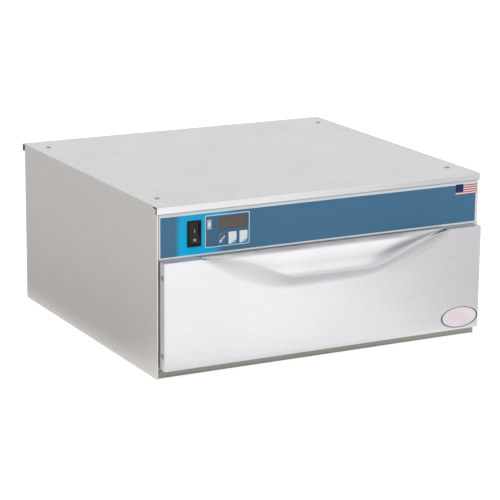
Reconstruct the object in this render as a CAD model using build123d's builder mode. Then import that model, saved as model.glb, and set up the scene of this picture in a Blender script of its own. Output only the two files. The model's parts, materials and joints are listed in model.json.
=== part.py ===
from build123d import *
import math
import os

# Countertop warming drawer: a low stainless-steel cabinet with one insulated drawer on roller slides.
# Millimetres. x runs to the right as seen from the front, y to the rear, z up. The origin is the
# middle of the bottom of the whole object's box, and cabinet_front is the plane of the cabinet's face.

# ---- Driving dimensions: cabinet shell
cabinet_width = 622.0
cabinet_depth = 572.0
cabinet_height = 293.0
shell_sheet = 1.2
bend_radius = 2.0
top_side_overhang = 1.0
top_front_overhang = 2.0
top_rear_overhang = 6.0
top_lip_height = 13.5
top_lip_return = 7.0
hem_width = 2.8
hem_length = 12.0
hem_bend = 1.35
side_rear_flange = 15.0
side_top_flange = 42.0
base_flange_height = 16.0
rail_height = 16.6
rail_clearance = 1.2
rail_depth = 14.0
rail_radius = 4.5
panel_fit = 0.2
screw_head = 4.6
screw_head_height = 1.6
screw_dome = 1.3
screw_shank = 2.1
screw_hole = 2.3
screw_length = 9.0
top_screw_margin = 28.0
top_screw_front = 59.0
top_screw_rear = 50.0
rear_screw_low = 25.0
rear_screw_high = 31.0

# ---- Driving dimensions: drawer front with its pull
front_sheet = 1.5
front_projection = 20.0
front_seam = 2.0
front_bottom = 18.8
front_top_gap = 1.5
front_side_gap = 4.0
pull_reach = 25.0
pull_foot_drop = 63.0
pull_crest_drop = 41.5
pull_half_flat = 72.0
pull_end_margin = 67.0
pull_bend = 8.0
pull_bend_end = 3.0
pull_wing_stations = 9
foot_rise_power = 1.7
crest_rise_start_power = 1.5
crest_rise_end_power = 2.8
crest_retreat_power = 4.0
pocket_back = 6.0
pocket_sheet = 0.8
pocket_corner = 3.5
pocket_fit = 0.3
pocket_end_margin = 4.0
inner_panel_flange = 14.0
side_screw_length = 5.0
side_screw_setback = 9.5
side_screw_low = 24.9
side_screw_high = 26.1

# ---- Driving dimensions: cavity and slides
side_insulation = 26.0
cavity_rear_space = 42.0
cavity_bottom = 31.0
cavity_head = 11.5
liner_sheet = 1.0
liner_corner = 8.0
roller_radius = 13.0
roller_width = 10.0
roller_gap = 0.3
roller_bore_fit = 0.05
roller_recess = 2.0
roller_tread = 2.6
roller_pin_radius = 4.0
roller_pin_head_radius = 6.0
roller_pin_head = 1.6
roller_side_gap = 0.4
pin_shoulder = 1.0
slide_axis_drop = 41.0
channel_depth = 14.0
channel_play = 0.6
channel_front = 3.0
channel_rear_gap = 27.0
front_roller_setback = 18.0
rear_roller_margin = 18.0
rail_sheet = 1.5
slide_rail_rear_gap = 50.0
slide_rail_drop = 12.0
slide_side_gap = 1.3
slide_space = 18.2
drawer_frame_height = 38.0
drawer_frame_depth = 348.0

# ---- Driving dimensions: food pan
pan_side_play = 1.8
pan_width = 325.0
pan_rim = 11.0
pan_floor_gap = 5.9
pan_sheet = 0.9
pan_taper = 12.0
pan_corner = 45.0
pan_rim_corner = 18.0
pan_headroom = 6.1

# ---- Driving dimensions: control panel
panel_height = 75.2
panel_lip_gap = 0.3
panel_return = 12.0
overlay_thickness = 0.5
overlay_corner = 1.0
switch_end_margin = 67.0
switch_rise = 38.2
switch_bezel_width = 25.6
switch_bezel_height = 44.0
switch_bezel_thickness = 2.0
switch_body_depth = 26.0
switch_wall = 1.7
rocker_width = 18.0
rocker_half_length = 17.0
rocker_pivot_depth = 3.0
rocker_tilt = 7.0
rocker_crown = 4.9
rocker_waist = 2.6
rocker_hub_radius = 6.0
rocker_pin_radius = 1.5
rocker_pin_fit = 0.05
rocker_end_gap = 1.0
rocker_end_bevel = 1.0
controller_pitch = 60.8
controller_rise = 38.8
controller_width = 82.8
controller_height = 55.0
controller_lip = 0.8
controller_corner = 3.0
controller_body_margin = 1.5
controller_body_depth = 42.0
controller_wall = 0.9
controller_front_wall = 2.5
key_pitch = 20.4
key_offset_x = -10.8
key_offset_z = -14.5
key_width = 14.9
key_height = 20.4
key_proud = 0.3
key_clearance = 0.3
key_corner = 1.0
key_collar = 1.0
key_collar_thickness = 0.8
key_stem_radius = 1.5
window_offset_x = 10.2
window_offset_z = 12.5
window_width = 55.6
window_height = 20.4
lens_offset_x = -33.5
lens_offset_z = 11.9
lens_width = 7.9
lens_height = 16.2
badge_end_margin = 41.0
badge_rise = 22.7
badge_width = 78.0
badge_height = 39.0
badge_thickness = 0.8

# ---- Driving dimensions: heating, insulation and inner parts
cable_radius = 1.6
cable_gap = 0.1
cable_passes = 5
cable_first_pass = 50.0
cable_last_pass = 60.0
cable_top_margin = 14.0
blanket_gap = 0.2
top_blanket = 20.0
tray_flange = 14.0
thermostat_x = 110.0
thermostat_y = 240.0
contact_gap = 0.8
contact_height = 3.6
contact_size = 6.0
board_thickness = 1.6
relay_pitch = 36.0
relay_width = 16.0
relay_height = 28.0
relay_depth = 16.0
terminal_x = -110.0
terminal_rear_margin = 152.0
terminal_ways = 5
terminal_pitch = 11.0
terminal_depth = 24.0
terminal_height = 16.0
terminal_screw = 2.6
terminal_wall = 2.0
terminal_end_wall = 3.0
gland_end_margin = 71.0
gland_drop = 43.0
gland_radius = 11.0

# ---- Places worked out from the driving dimensions
pull_depth = front_projection + pull_reach
cabinet_front = (pull_depth - cabinet_depth - top_rear_overhang) / 2
cabinet_rear = cabinet_front + cabinet_depth
side_outer = cabinet_width / 2
side_inner = side_outer - shell_sheet
face_half_width = side_outer - hem_width - panel_fit
drawer_face = cabinet_front - front_projection
drawer_back = cabinet_front - front_seam
front_half_width = side_outer - front_side_gap
pull_half_width = front_half_width - pull_end_margin
panel_top = cabinet_height - top_lip_height - panel_lip_gap
panel_bottom = panel_top - panel_height
front_top = panel_bottom - front_top_gap
cavity_top = front_top - cavity_head
cavity_half_width = side_outer - side_insulation
cavity_depth = cabinet_depth - cavity_rear_space
channel_length = cavity_depth - channel_front - channel_rear_gap
slide_rail_length = cavity_depth - slide_rail_rear_gap
rear_roller_setback = slide_rail_length - rear_roller_margin
cable_pitch = (cavity_depth - cable_first_pass - cable_last_pass) / (cable_passes - 1)
terminal_y = cabinet_depth - terminal_rear_margin
slide_axis_height = cavity_top - slide_axis_drop
drawer_frame_half_width = cavity_half_width - slide_space
slide_rail_flange = slide_space - shell_sheet - slide_side_gap
pan_length = 2 * (drawer_frame_half_width - pan_side_play)
pan_top = cavity_top - pan_headroom
pan_bottom = cavity_bottom + pan_floor_gap
switch_x = switch_end_margin - side_outer
switch_z = panel_bottom + switch_rise
controller_x = switch_x + controller_pitch
controller_z = panel_bottom + controller_rise
badge_x = front_half_width - badge_end_margin
badge_z = front_bottom + badge_rise
gland_x = gland_end_margin - side_outer
gland_z = cabinet_height - gland_drop
liner_outer_half = cavity_half_width + liner_sheet
liner_rear = cabinet_front + cavity_depth + liner_sheet
liner_bottom = cavity_bottom - liner_sheet
liner_top = cavity_top + liner_sheet
rear_flange_face = cabinet_rear - shell_sheet
top_underside = cabinet_height - shell_sheet
inner_rear = rear_flange_face - shell_sheet - panel_fit
compartment_floor = liner_top + top_blanket + 2 * blanket_gap


def front_plane(y):
    """Sketch plane seen from the front at depth y, with x to the right and z up."""
    return Plane.XZ.offset(-y)


def bent_sheet(points, thickness, radius=bend_radius):
    """Section of a bent sheet: one face follows the points and the metal lies to their left."""
    corners = [Vector(*point) for point in points]
    lefts = [(end - start).normalized().rotate(Axis.Z, 90) for start, end in zip(corners, corners[1:])]
    far_corners = [corners[0] + lefts[0] * thickness]
    near_radii = []
    far_radii = []
    for corner, before, after in zip(corners[1:-1], lefts, lefts[1:]):
        far_corners.append(corner + (before + after) * (thickness / (1 + before.dot(after))))
        turns_left = before.cross(after).Z > 0
        near_radii.append(radius if turns_left else radius - thickness)
        far_radii.append(radius - thickness if turns_left else radius)
    far_corners.append(corners[-1] + lefts[-1] * thickness)
    with BuildSketch() as section:
        with BuildLine():
            FilletPolyline(*corners, radius=near_radii)
            Line(corners[-1], far_corners[-1])
            FilletPolyline(*far_corners, radius=far_radii)
            Line(corners[0], far_corners[0])
        make_face()
    return section.sketch


def screw(length):
    """Domed-head screw on the z axis with the underside of its head at z 0."""
    with BuildPart() as fastener:
        with BuildSketch():
            Circle(screw_head)
        extrude(amount=screw_head_height)
        fillet(fastener.faces().sort_by(Axis.Z)[-1].edges(), screw_dome)
        with BuildSketch():
            Circle(screw_shank)
        extrude(amount=-length)
    return fastener.part


def save(piece, name):
    """Labels a finished piece and writes its STEP file."""
    piece.part.label = name
    export_step(piece.part, f"parts/{name}.step")


def save_pair(right_piece, name):
    """Writes a right-hand piece and its mirror image on the left."""
    save(right_piece, f"{name}_right")
    with BuildPart() as left_piece:
        mirror(right_piece.part, about=Plane.YZ)
    save(left_piece, f"{name}_left")


os.makedirs("parts", exist_ok=True)

# ==== Cabinet shell

# Top cover: one sheet with a box lip folded down along the front and the rear.
top_front = cabinet_front - top_front_overhang
top_rear = cabinet_rear + top_rear_overhang
lip_bottom = cabinet_height - top_lip_height
top_half_width = side_outer + top_side_overhang
top_lip_profile = [
    (cabinet_rear + panel_fit, lip_bottom),
    (top_rear, lip_bottom),
    (top_rear, cabinet_height),
    (top_front, cabinet_height),
    (top_front, lip_bottom),
    (top_front + top_lip_return, lip_bottom),
]
top_screw_x = side_outer - top_screw_margin
top_screw_places = [
    (x, y)
    for x in (-top_screw_x, top_screw_x)
    for y in (cabinet_front + top_screw_front, cabinet_rear - top_screw_rear)
]
with BuildPart() as top_cover:
    with BuildSketch(Plane.YZ.offset(-top_half_width)):
        add(bent_sheet(top_lip_profile, shell_sheet))
    extrude(amount=2 * top_half_width)
    with BuildSketch(Plane.XY.offset(cabinet_height)):
        with Locations(*top_screw_places):
            Circle(screw_hole)
    extrude(amount=-2 * shell_sheet, mode=Mode.SUBTRACT)
save(top_cover, "top_cover")

with BuildPart() as top_cover_screws:
    with Locations(*[(x, y, cabinet_height) for x, y in top_screw_places]):
        add(screw(screw_length))
save(top_cover_screws, "top_cover_screws")

# Side panel: a hemmed front edge, a rear flange for the back and a top flange for the cover's screws.
side_plan = [
    (side_outer - hem_width, cabinet_front + hem_length),
    (side_outer - hem_width, cabinet_front),
    (side_outer, cabinet_front),
    (side_outer, rear_flange_face),
    (side_outer - side_rear_flange, rear_flange_face),
]
side_top_fold = [
    (side_outer, cabinet_height / 2),
    (side_outer, top_underside),
    (side_outer - side_top_flange, top_underside),
]
bend_relief = 3.0
lip_notch_depth = top_lip_return - top_front_overhang + panel_fit
lip_notch_height = top_underside - lip_bottom + panel_fit
side_top_flange_front = cabinet_front + hem_length + bend_relief
rear_screw_heights = (rear_screw_low, cabinet_height / 2, cabinet_height - rear_screw_high)
rear_screw_x = side_outer - side_rear_flange / 2
with BuildPart() as side_panel:
    with BuildSketch(Plane.XY):
        add(bent_sheet(side_plan, shell_sheet, hem_bend))
    extrude(amount=top_underside - bend_relief)
    with BuildSketch(front_plane(side_top_flange_front)):
        add(bent_sheet(side_top_fold, shell_sheet))
    extrude(amount=-(inner_rear - side_top_flange_front))
    with BuildSketch(Plane.XY.offset(top_underside)):
        with Locations(*[(x, y) for x, y in top_screw_places if x > 0]):
            Circle(screw_hole)
    extrude(amount=-2 * shell_sheet, mode=Mode.SUBTRACT)
    with BuildSketch(Plane.YZ.offset(side_outer)):
        with Locations((cabinet_front, top_underside)):
            Rectangle(2 * lip_notch_depth, 2 * lip_notch_height)
    extrude(amount=-2 * hem_width, mode=Mode.SUBTRACT)
    with BuildSketch(front_plane(cabinet_rear)):
        with Locations(*[(rear_screw_x, z) for z in rear_screw_heights]):
            Circle(screw_hole)
    extrude(amount=3 * shell_sheet, mode=Mode.SUBTRACT)
save_pair(side_panel, "side_panel")

# Rear panel: screwed to the side flanges, with cooling slots for the control space and the cord bushing hole.
rear_screw_places = [(x, z) for x in (-rear_screw_x, rear_screw_x) for z in rear_screw_heights]
slot_length = 34.0
slot_height = 4.0
slot_pitch_x = 46.0
slot_pitch_z = 9.0
slot_columns = 5
slot_rows = 3
slot_centre_x = 110.0
slot_drop = 45.0
slot_centre_z = cabinet_height - slot_drop
with BuildPart() as rear_panel:
    with BuildSketch(front_plane(rear_flange_face)):
        with Locations((0, (top_underside + shell_sheet) / 2)):
            Rectangle(2 * (side_inner - panel_fit), top_underside - shell_sheet - 2 * panel_fit)
        with Locations(*rear_screw_places):
            Circle(screw_hole, mode=Mode.SUBTRACT)
        with Locations((gland_x, gland_z)):
            Circle(gland_radius, mode=Mode.SUBTRACT)
        with Locations((slot_centre_x, slot_centre_z)):
            with GridLocations(slot_pitch_x, slot_pitch_z, slot_columns, slot_rows):
                SlotOverall(slot_length, slot_height, mode=Mode.SUBTRACT)
    extrude(amount=-shell_sheet)
save(rear_panel, "rear_panel")

with BuildPart() as rear_panel_screws:
    with Locations(*[Plane(origin=(x, cabinet_rear, z), z_dir=(0, 1, 0)) for x, z in rear_screw_places]):
        add(screw(screw_length))
save(rear_panel_screws, "rear_panel_screws")

# Cord bushing: a flanged nut either side of the rear panel, with the hole where the supply cord would enter.
bushing_flange = 14.0
bushing_nut = 16.0
bushing_bore = 5.0
bushing_outside = 5.0
bushing_inside = 14.0
bushing_fit = 0.05
bushing_taper = 12.0
with BuildPart() as cord_bushing:
    with BuildSketch(front_plane(cabinet_rear)):
        with Locations((gland_x, gland_z)):
            Circle(bushing_flange)
    extrude(amount=-bushing_outside, taper=bushing_taper)
    with BuildSketch(front_plane(cabinet_rear)):
        with Locations((gland_x, gland_z)):
            Circle(gland_radius - bushing_fit)
    extrude(amount=bushing_inside)
    with BuildSketch(front_plane(rear_flange_face)):
        with Locations((gland_x, gland_z)):
            RegularPolygon(bushing_nut, 6)
    extrude(amount=bushing_outside)
    with BuildSketch(front_plane(cabinet_rear + bushing_outside)):
        with Locations((gland_x, gland_z)):
            Circle(bushing_bore)
    extrude(amount=bushing_outside + bushing_inside, mode=Mode.SUBTRACT)
save(cord_bushing, "cord_bushing")

# Base pan between the side panels: the flat bottom that the cabinet stands on.
base_front = cabinet_front + rail_depth + panel_fit
base_half_width = side_inner - panel_fit
base_profile = [
    (-base_half_width, base_flange_height),
    (-base_half_width, 0),
    (base_half_width, 0),
    (base_half_width, base_flange_height),
]
with BuildPart() as base_pan:
    with BuildSketch(front_plane(base_front)):
        add(bent_sheet(base_profile, shell_sheet))
    extrude(amount=-(inner_rear - base_front))
save(base_pan, "base_pan")

# Bottom rail under the drawer front: a channel with a rounded nose.
rail_top = rail_clearance + rail_height
rail_profile = [
    (cabinet_front + rail_depth, rail_top),
    (cabinet_front, rail_top),
    (cabinet_front, rail_clearance),
    (cabinet_front + rail_depth, rail_clearance),
]
with BuildPart() as bottom_front_rail:
    with BuildSketch(Plane.YZ.offset(-face_half_width)):
        add(bent_sheet(rail_profile, shell_sheet, rail_radius))
    extrude(amount=2 * face_half_width)
save(bottom_front_rail, "bottom_front_rail")

# ==== Heated cavity

liner_middle = (cavity_bottom + cavity_top) / 2
liner_height = cavity_top - cavity_bottom
face_top = panel_bottom - panel_fit
face_bottom = rail_top + panel_fit
with BuildPart() as cavity_liner:
    with BuildSketch(front_plane(cabinet_front)):
        with Locations((0, liner_middle)):
            RectangleRounded(2 * liner_outer_half, liner_height + 2 * liner_sheet, liner_corner + liner_sheet)
    extrude(amount=-(cavity_depth + liner_sheet))
    with BuildSketch(front_plane(cabinet_front)):
        with Locations((0, (face_top + face_bottom) / 2)):
            Rectangle(2 * face_half_width, face_top - face_bottom)
    extrude(amount=-liner_sheet)
    with BuildSketch(front_plane(cabinet_front)):
        with Locations((0, liner_middle)):
            RectangleRounded(2 * cavity_half_width, liner_height, liner_corner)
    extrude(amount=-cavity_depth, mode=Mode.SUBTRACT)
save(cavity_liner, "cavity_liner")

# Heating cable: passes down one side of the liner, under its floor and up the other, linked at the top.
cable_x = liner_outer_half + cable_gap + cable_radius
cable_z = liner_bottom - cable_gap - cable_radius
cable_top = liner_top - cable_top_margin
cable_bend = liner_corner + liner_sheet + cable_gap + cable_radius
cable_corners = []
for cable_pass in range(cable_passes):
    pass_y = cabinet_front + cable_first_pass + cable_pass * cable_pitch
    heading = 1 if cable_pass % 2 == 0 else -1
    cable_corners += [
        (-heading * cable_x, pass_y, cable_top),
        (-heading * cable_x, pass_y, cable_z),
        (heading * cable_x, pass_y, cable_z),
        (heading * cable_x, pass_y, cable_top),
    ]
with BuildPart() as heating_cable:
    with BuildLine():
        cable_route = FilletPolyline(*cable_corners, radius=cable_bend)
    with BuildSketch(Plane(origin=cable_route @ 0, z_dir=cable_route % 0)):
        Circle(cable_radius)
    sweep()
save(heating_cable, "heating_cable")

# Insulation blankets round the liner.
blanket_inner = cable_x + cable_radius + blanket_gap
blanket_outer = side_outer - hem_width
blanket_front = base_front + blanket_gap
blanket_low = shell_sheet + blanket_gap
blanket_rear_front = liner_rear + blanket_gap
blanket_rear_back = inner_rear - blanket_gap
rear_blanket_half = side_outer - side_rear_flange - blanket_gap
with BuildPart() as insulation_side:
    with BuildSketch(Plane.XY.offset(blanket_low)):
        with Locations(((blanket_inner + blanket_outer) / 2, (blanket_front + liner_rear) / 2)):
            Rectangle(blanket_outer - blanket_inner - 2 * blanket_gap, liner_rear - blanket_front)
    extrude(amount=liner_top - blanket_low)
save_pair(insulation_side, "insulation_side")

with BuildPart() as insulation_bottom:
    with BuildSketch(Plane.XY.offset(blanket_low)):
        with Locations((0, (blanket_front + liner_rear) / 2)):
            Rectangle(2 * blanket_inner, liner_rear - blanket_front)
    extrude(amount=cable_z - cable_radius - blanket_gap - blanket_low)
save(insulation_bottom, "insulation_bottom")

# High-limit thermostat: a disc clipped to the top of the liner, standing in a hole of the top blanket.
thermostat_place = (thermostat_x, cabinet_front + thermostat_y)
thermostat_flange = 12.5
thermostat_body = 9.0
thermostat_height = 13.0
thermostat_hole = 15.0
terminal_spacing = 10.0
terminal_blade = (0.8, 6.3)
terminal_rise = 9.0
with BuildPart() as high_limit_thermostat:
    with BuildSketch(Plane.XY.offset(liner_top)):
        with Locations(thermostat_place):
            Circle(thermostat_flange)
    extrude(amount=liner_sheet)
    with BuildSketch(Plane.XY.offset(liner_top)):
        with Locations(thermostat_place):
            Circle(thermostat_body)
    extrude(amount=thermostat_height)
    with BuildSketch(Plane.XY.offset(liner_top + thermostat_height)):
        with Locations(thermostat_place):
            with GridLocations(terminal_spacing, 0, 2, 1):
                Rectangle(*terminal_blade)
    extrude(amount=terminal_rise)
save(high_limit_thermostat, "high_limit_thermostat")

with BuildPart() as insulation_top:
    with BuildSketch(Plane.XY.offset(liner_top + blanket_gap)):
        with Locations((0, (blanket_front + liner_rear) / 2)):
            Rectangle(2 * liner_outer_half, liner_rear - blanket_front)
        with Locations(thermostat_place):
            Circle(thermostat_hole, mode=Mode.SUBTRACT)
    extrude(amount=top_blanket)
save(insulation_top, "insulation_top")

with BuildPart() as insulation_rear:
    with BuildSketch(Plane.XY.offset(blanket_low)):
        with Locations((0, (blanket_rear_front + blanket_rear_back) / 2)):
            Rectangle(2 * rear_blanket_half, blanket_rear_back - blanket_rear_front)
    extrude(amount=liner_top + top_blanket - blanket_low)
save(insulation_rear, "insulation_rear")

# Air-temperature probe on the rear wall of the cavity, behind a wire-thin guard strap.
probe_radius = 3.0
probe_length = 90.0
probe_drop = 71.0
probe_height = cavity_top - probe_drop
probe_standoff = 9.0
probe_bracket_width = 8.0
probe_tip_radius = 2.4
guard_sheet = 1.0
guard_reach = 18.0
guard_foot = 12.0
guard_half_height = 12.0
guard_width = 60.0
cavity_rear = cabinet_front + cavity_depth
probe_y = cavity_rear - probe_standoff
with BuildPart() as temperature_probe:
    with BuildSketch(Plane.YZ.offset(-probe_length / 2)):
        with Locations((probe_y, probe_height)):
            Circle(probe_radius)
    extrude(amount=probe_length)
    fillet(temperature_probe.edges().filter_by(GeomType.CIRCLE).sort_by(Axis.X)[-1], probe_tip_radius)
    with BuildSketch(Plane.YZ.offset(-probe_length / 2)):
        with Locations((probe_y + probe_standoff / 2, probe_height)):
            Rectangle(probe_standoff, 2 * probe_radius)
    extrude(amount=probe_bracket_width)
save(temperature_probe, "temperature_probe")

guard_profile = [
    (cavity_rear, probe_height - guard_half_height - guard_foot),
    (cavity_rear, probe_height - guard_half_height),
    (cavity_rear - guard_reach, probe_height - guard_half_height),
    (cavity_rear - guard_reach, probe_height + guard_half_height),
    (cavity_rear, probe_height + guard_half_height),
    (cavity_rear, probe_height + guard_half_height + guard_foot),
]
with BuildPart() as probe_guard:
    with BuildSketch(Plane.YZ.offset(-guard_width / 2)):
        add(bent_sheet(guard_profile, guard_sheet))
    extrude(amount=guard_width)
save(probe_guard, "probe_guard")

# ==== Roller slides

# The cabinet channel holds the front roller and guides the drawer's rear roller.
channel_floor = slide_axis_height - roller_radius - roller_gap
channel_ceiling = slide_axis_height + roller_radius + roller_gap + rail_sheet + channel_play
channel_inner_x = cavity_half_width - channel_depth
channel_profile = [
    (channel_inner_x, channel_floor - shell_sheet),
    (cavity_half_width, channel_floor - shell_sheet),
    (cavity_half_width, channel_ceiling + shell_sheet),
    (channel_inner_x, channel_ceiling + shell_sheet),
]
channel_web = cavity_half_width - shell_sheet
with BuildPart() as cabinet_channel:
    with BuildSketch(front_plane(cabinet_front + channel_front)):
        add(bent_sheet(channel_profile, shell_sheet))
    extrude(amount=-channel_length)
save_pair(cabinet_channel, "cabinet_channel")


def roller(inner_x, setback):
    """Nylon roller with a recessed web, its bore a running fit on the pin."""
    place = (cabinet_front + setback, slide_axis_height)
    with BuildPart() as wheel:
        with BuildSketch(Plane.YZ.offset(inner_x)):
            with Locations(place):
                Circle(roller_radius)
                Circle(roller_pin_radius + roller_bore_fit, mode=Mode.SUBTRACT)
        extrude(amount=roller_width)
        with BuildSketch(Plane.YZ.offset(inner_x), Plane.YZ.offset(inner_x + roller_width - roller_recess)):
            with Locations(place):
                Circle(roller_radius - roller_tread)
                Circle(roller_pin_head_radius + roller_side_gap, mode=Mode.SUBTRACT)
        extrude(amount=roller_recess, mode=Mode.SUBTRACT)
    return wheel


def roller_pin(web_x, inward, setback):
    """Headed pin standing on a web at web_x, pointing inward (-1) or outward (1), for one roller."""
    place = (cabinet_front + setback, slide_axis_height)
    reach = roller_width + 2 * roller_side_gap + pin_shoulder
    with BuildPart() as pin:
        with BuildSketch(Plane.YZ.offset(web_x)):
            with Locations(place):
                Circle(roller_pin_radius)
        extrude(amount=inward * (reach + roller_pin_head))
        with BuildSketch(Plane.YZ.offset(web_x)):
            with Locations(place):
                Circle(roller_pin_head_radius)
        extrude(amount=inward * pin_shoulder)
        with BuildSketch(Plane.YZ.offset(web_x + inward * reach)):
            with Locations(place):
                Circle(roller_pin_head_radius)
        extrude(amount=inward * roller_pin_head)
    return pin


front_roller_x = channel_web - pin_shoulder - roller_side_gap - roller_width
save_pair(roller(front_roller_x, front_roller_setback), "front_roller")
save_pair(roller_pin(channel_web, -1, front_roller_setback), "front_roller_pin")

# The drawer's rail rides on the front roller and carries the rear roller at its tail.
slide_rail_web = drawer_frame_half_width + rail_sheet
slide_rail_top = slide_axis_height + roller_radius + roller_gap + rail_sheet
slide_rail_bottom = slide_axis_height - slide_rail_drop
slide_rail_profile = [
    (drawer_frame_half_width + slide_rail_flange, slide_rail_top),
    (drawer_frame_half_width, slide_rail_top),
    (drawer_frame_half_width, slide_rail_bottom),
]
rail_tab_height = 2 * slide_rail_drop
rail_tab_plan = [
    (drawer_frame_half_width, drawer_back + rail_tab_height),
    (drawer_frame_half_width, drawer_back),
    (drawer_frame_half_width + slide_rail_flange, drawer_back),
]
with BuildPart() as slide_rail:
    with BuildSketch(front_plane(cabinet_front)):
        add(bent_sheet(slide_rail_profile, rail_sheet))
    extrude(amount=-slide_rail_length)
    with BuildSketch(Plane.XY.offset(slide_rail_bottom)):
        add(bent_sheet(rail_tab_plan, rail_sheet))
    extrude(amount=rail_tab_height)
save_pair(slide_rail, "slide_rail")

rear_roller_x = slide_rail_web + pin_shoulder + roller_side_gap
save_pair(roller(rear_roller_x, rear_roller_setback), "rear_roller")
save_pair(roller_pin(slide_rail_web, 1, rear_roller_setback), "rear_roller_pin")

# ==== Drawer front: one sheet whose top middle is drawn outwards into a full-width pull

crest_top = front_top - front_sheet / 2
wing_length = pull_half_width - pull_half_flat


def pull_section(x):
    """Points of both faces of the drawn sheet at one place across: foot, bend corner and crest."""
    share = (abs(x) - pull_half_flat) / wing_length
    middle_y = drawer_face + front_sheet / 2
    crest_z = crest_top - pull_crest_drop * (1 - share**crest_rise_start_power) ** crest_rise_end_power
    crest_y = middle_y - pull_reach * (1 - share**crest_retreat_power)
    foot_z = front_top - pull_foot_drop * (1 - share**foot_rise_power)
    corner_z = min(foot_z + pull_bend_end, crest_z - pull_bend_end)
    lean = math.atan2(middle_y - crest_y, crest_z - corner_z)
    half = front_sheet / 2
    across = Vector(math.cos(lean), math.sin(lean)) * half
    mitre = Vector(half, half * math.tan(lean / 2))
    side = Vector(half, 0)
    crest = Vector(crest_y, crest_z)
    tip = crest + Vector(-math.sin(lean), math.cos(lean)) * half
    corner = Vector(middle_y, corner_z)
    foot = Vector(middle_y, corner_z - pull_bend - pull_bend_end)
    outer = (foot - side, corner - mitre, crest - across)
    inner = (crest + across, corner + mitre, foot + side)
    return outer, tip, inner


def skin_section(x):
    """Section of the drawer front's sheet from its bottom edge to the crest of the pull."""
    outer, tip, inner = pull_section(x)
    low_outer = Vector(drawer_face, front_bottom)
    low_inner = Vector(drawer_face + front_sheet, front_bottom)
    with BuildSketch(Plane.YZ.offset(x)) as section:
        with BuildLine():
            Line(low_outer, outer[0])
            Bezier(*outer)
            ThreePointArc(outer[2], tip, inner[0])
            Bezier(*inner)
            Line(inner[2], low_inner)
            Line(low_inner, low_outer)
        make_face()
    return section.sketch


def pocket_points(x):
    """Corners of the finger pocket's face, from its top rear edge to the inside of the pull."""
    inner = pull_section(x)[2]
    meet = (inner[0] + inner[1] * 2 + inner[2]) / 4
    along = (inner[0] - inner[2]).normalized()
    meet = meet + Vector(along.Y, -along.X) * pocket_fit
    back = drawer_face + front_projection - pocket_back
    depth = min(pocket_corner, (front_top - meet.Y) / 3)
    return [
        Vector(drawer_back, front_top),
        Vector(back + depth / 2, front_top),
        Vector(back, front_top),
        Vector(back, front_top - depth),
        Vector(back, meet.Y),
        meet,
    ]


def pocket_section(x):
    """Section of the thin sheet that lines the finger pocket."""
    face = pocket_points(x)
    wall = Vector(pocket_sheet, -pocket_sheet)
    rear = [point + wall for point in face]
    rear[0] = face[0] + Vector(0, wall.Y)
    with BuildSketch(Plane.YZ.offset(x)) as section:
        with BuildLine():
            Line(face[0], face[1])
            Bezier(face[1], face[2], face[3])
            Bezier(face[3], face[4], face[5])
            Line(face[5], rear[5])
            Bezier(rear[5], rear[4], rear[3])
            Bezier(rear[3], rear[2], rear[1])
            Line(rear[1], rear[0])
            Line(rear[0], face[0])
        make_face()
    return section.sketch


def wing_places(end):
    """Evenly spaced stations along one wing, from the straight middle of the pull to the given end."""
    step = (end - pull_half_flat) / (pull_wing_stations - 1)
    return [pull_half_flat + step * index for index in range(pull_wing_stations)]


pocket_half_width = pull_half_width - pocket_end_margin
end_plan = [
    (pull_half_width, drawer_face),
    (front_half_width, drawer_face),
    (front_half_width, drawer_back),
]
tray_depth = drawer_back - drawer_face
tray_half = front_half_width - front_sheet
side_screw_y = drawer_back - side_screw_setback
side_screw_heights = (front_bottom + side_screw_low, front_top - side_screw_high)
side_screw_places = [(side_screw_y, z) for z in side_screw_heights]
with BuildPart() as drawer_front:
    loft([skin_section(x) for x in wing_places(pull_half_width)])
    with BuildSketch(Plane.XY.offset(front_bottom)):
        add(bent_sheet(end_plan, front_sheet))
    extrude(amount=front_top - front_bottom)
    with BuildSketch(Plane.XY.offset(front_top - front_sheet)):
        with Locations(((pocket_half_width + tray_half) / 2, drawer_face + tray_depth / 2)):
            Rectangle(tray_half - pocket_half_width, tray_depth - 2 * front_sheet)
    extrude(amount=front_sheet)
    mirror(about=Plane.YZ)
    extrude(skin_section(-pull_half_flat), amount=2 * pull_half_flat)
    with BuildSketch(Plane.XY.offset(front_bottom)):
        with Locations((0, drawer_back - (tray_depth - front_sheet) / 2)):
            Rectangle(2 * tray_half, tray_depth - front_sheet)
    extrude(amount=front_sheet)
    with BuildSketch(Plane.YZ.offset(-front_half_width)):
        with Locations(*side_screw_places):
            Circle(screw_hole)
    extrude(amount=2 * front_half_width, mode=Mode.SUBTRACT)
save(drawer_front, "drawer_front")

with BuildPart() as handle_pocket:
    loft([pocket_section(x) for x in wing_places(pocket_half_width)])
    mirror(about=Plane.YZ)
    extrude(pocket_section(-pull_half_flat), amount=2 * pull_half_flat)
save(handle_pocket, "handle_pocket")

# Inner panel, gasket and insulation close the drawer front's back.
panel_half_width = front_half_width - front_sheet - panel_fit
inner_panel_bottom = front_bottom + front_sheet + panel_fit
inner_panel_top = front_top - 2 * front_sheet
inner_panel_front = drawer_back - shell_sheet
inner_panel_plan = [
    (-panel_half_width, drawer_back - inner_panel_flange),
    (-panel_half_width, drawer_back),
    (panel_half_width, drawer_back),
    (panel_half_width, drawer_back - inner_panel_flange),
]
with BuildPart() as drawer_inner_panel:
    with BuildSketch(Plane.XY.offset(inner_panel_bottom)):
        add(bent_sheet(inner_panel_plan[::-1], shell_sheet))
    extrude(amount=inner_panel_top - inner_panel_bottom)
    with BuildSketch(Plane.YZ.offset(-front_half_width)):
        with Locations(*side_screw_places):
            Circle(screw_hole)
    extrude(amount=2 * front_half_width, mode=Mode.SUBTRACT)
save(drawer_inner_panel, "drawer_inner_panel")

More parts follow.
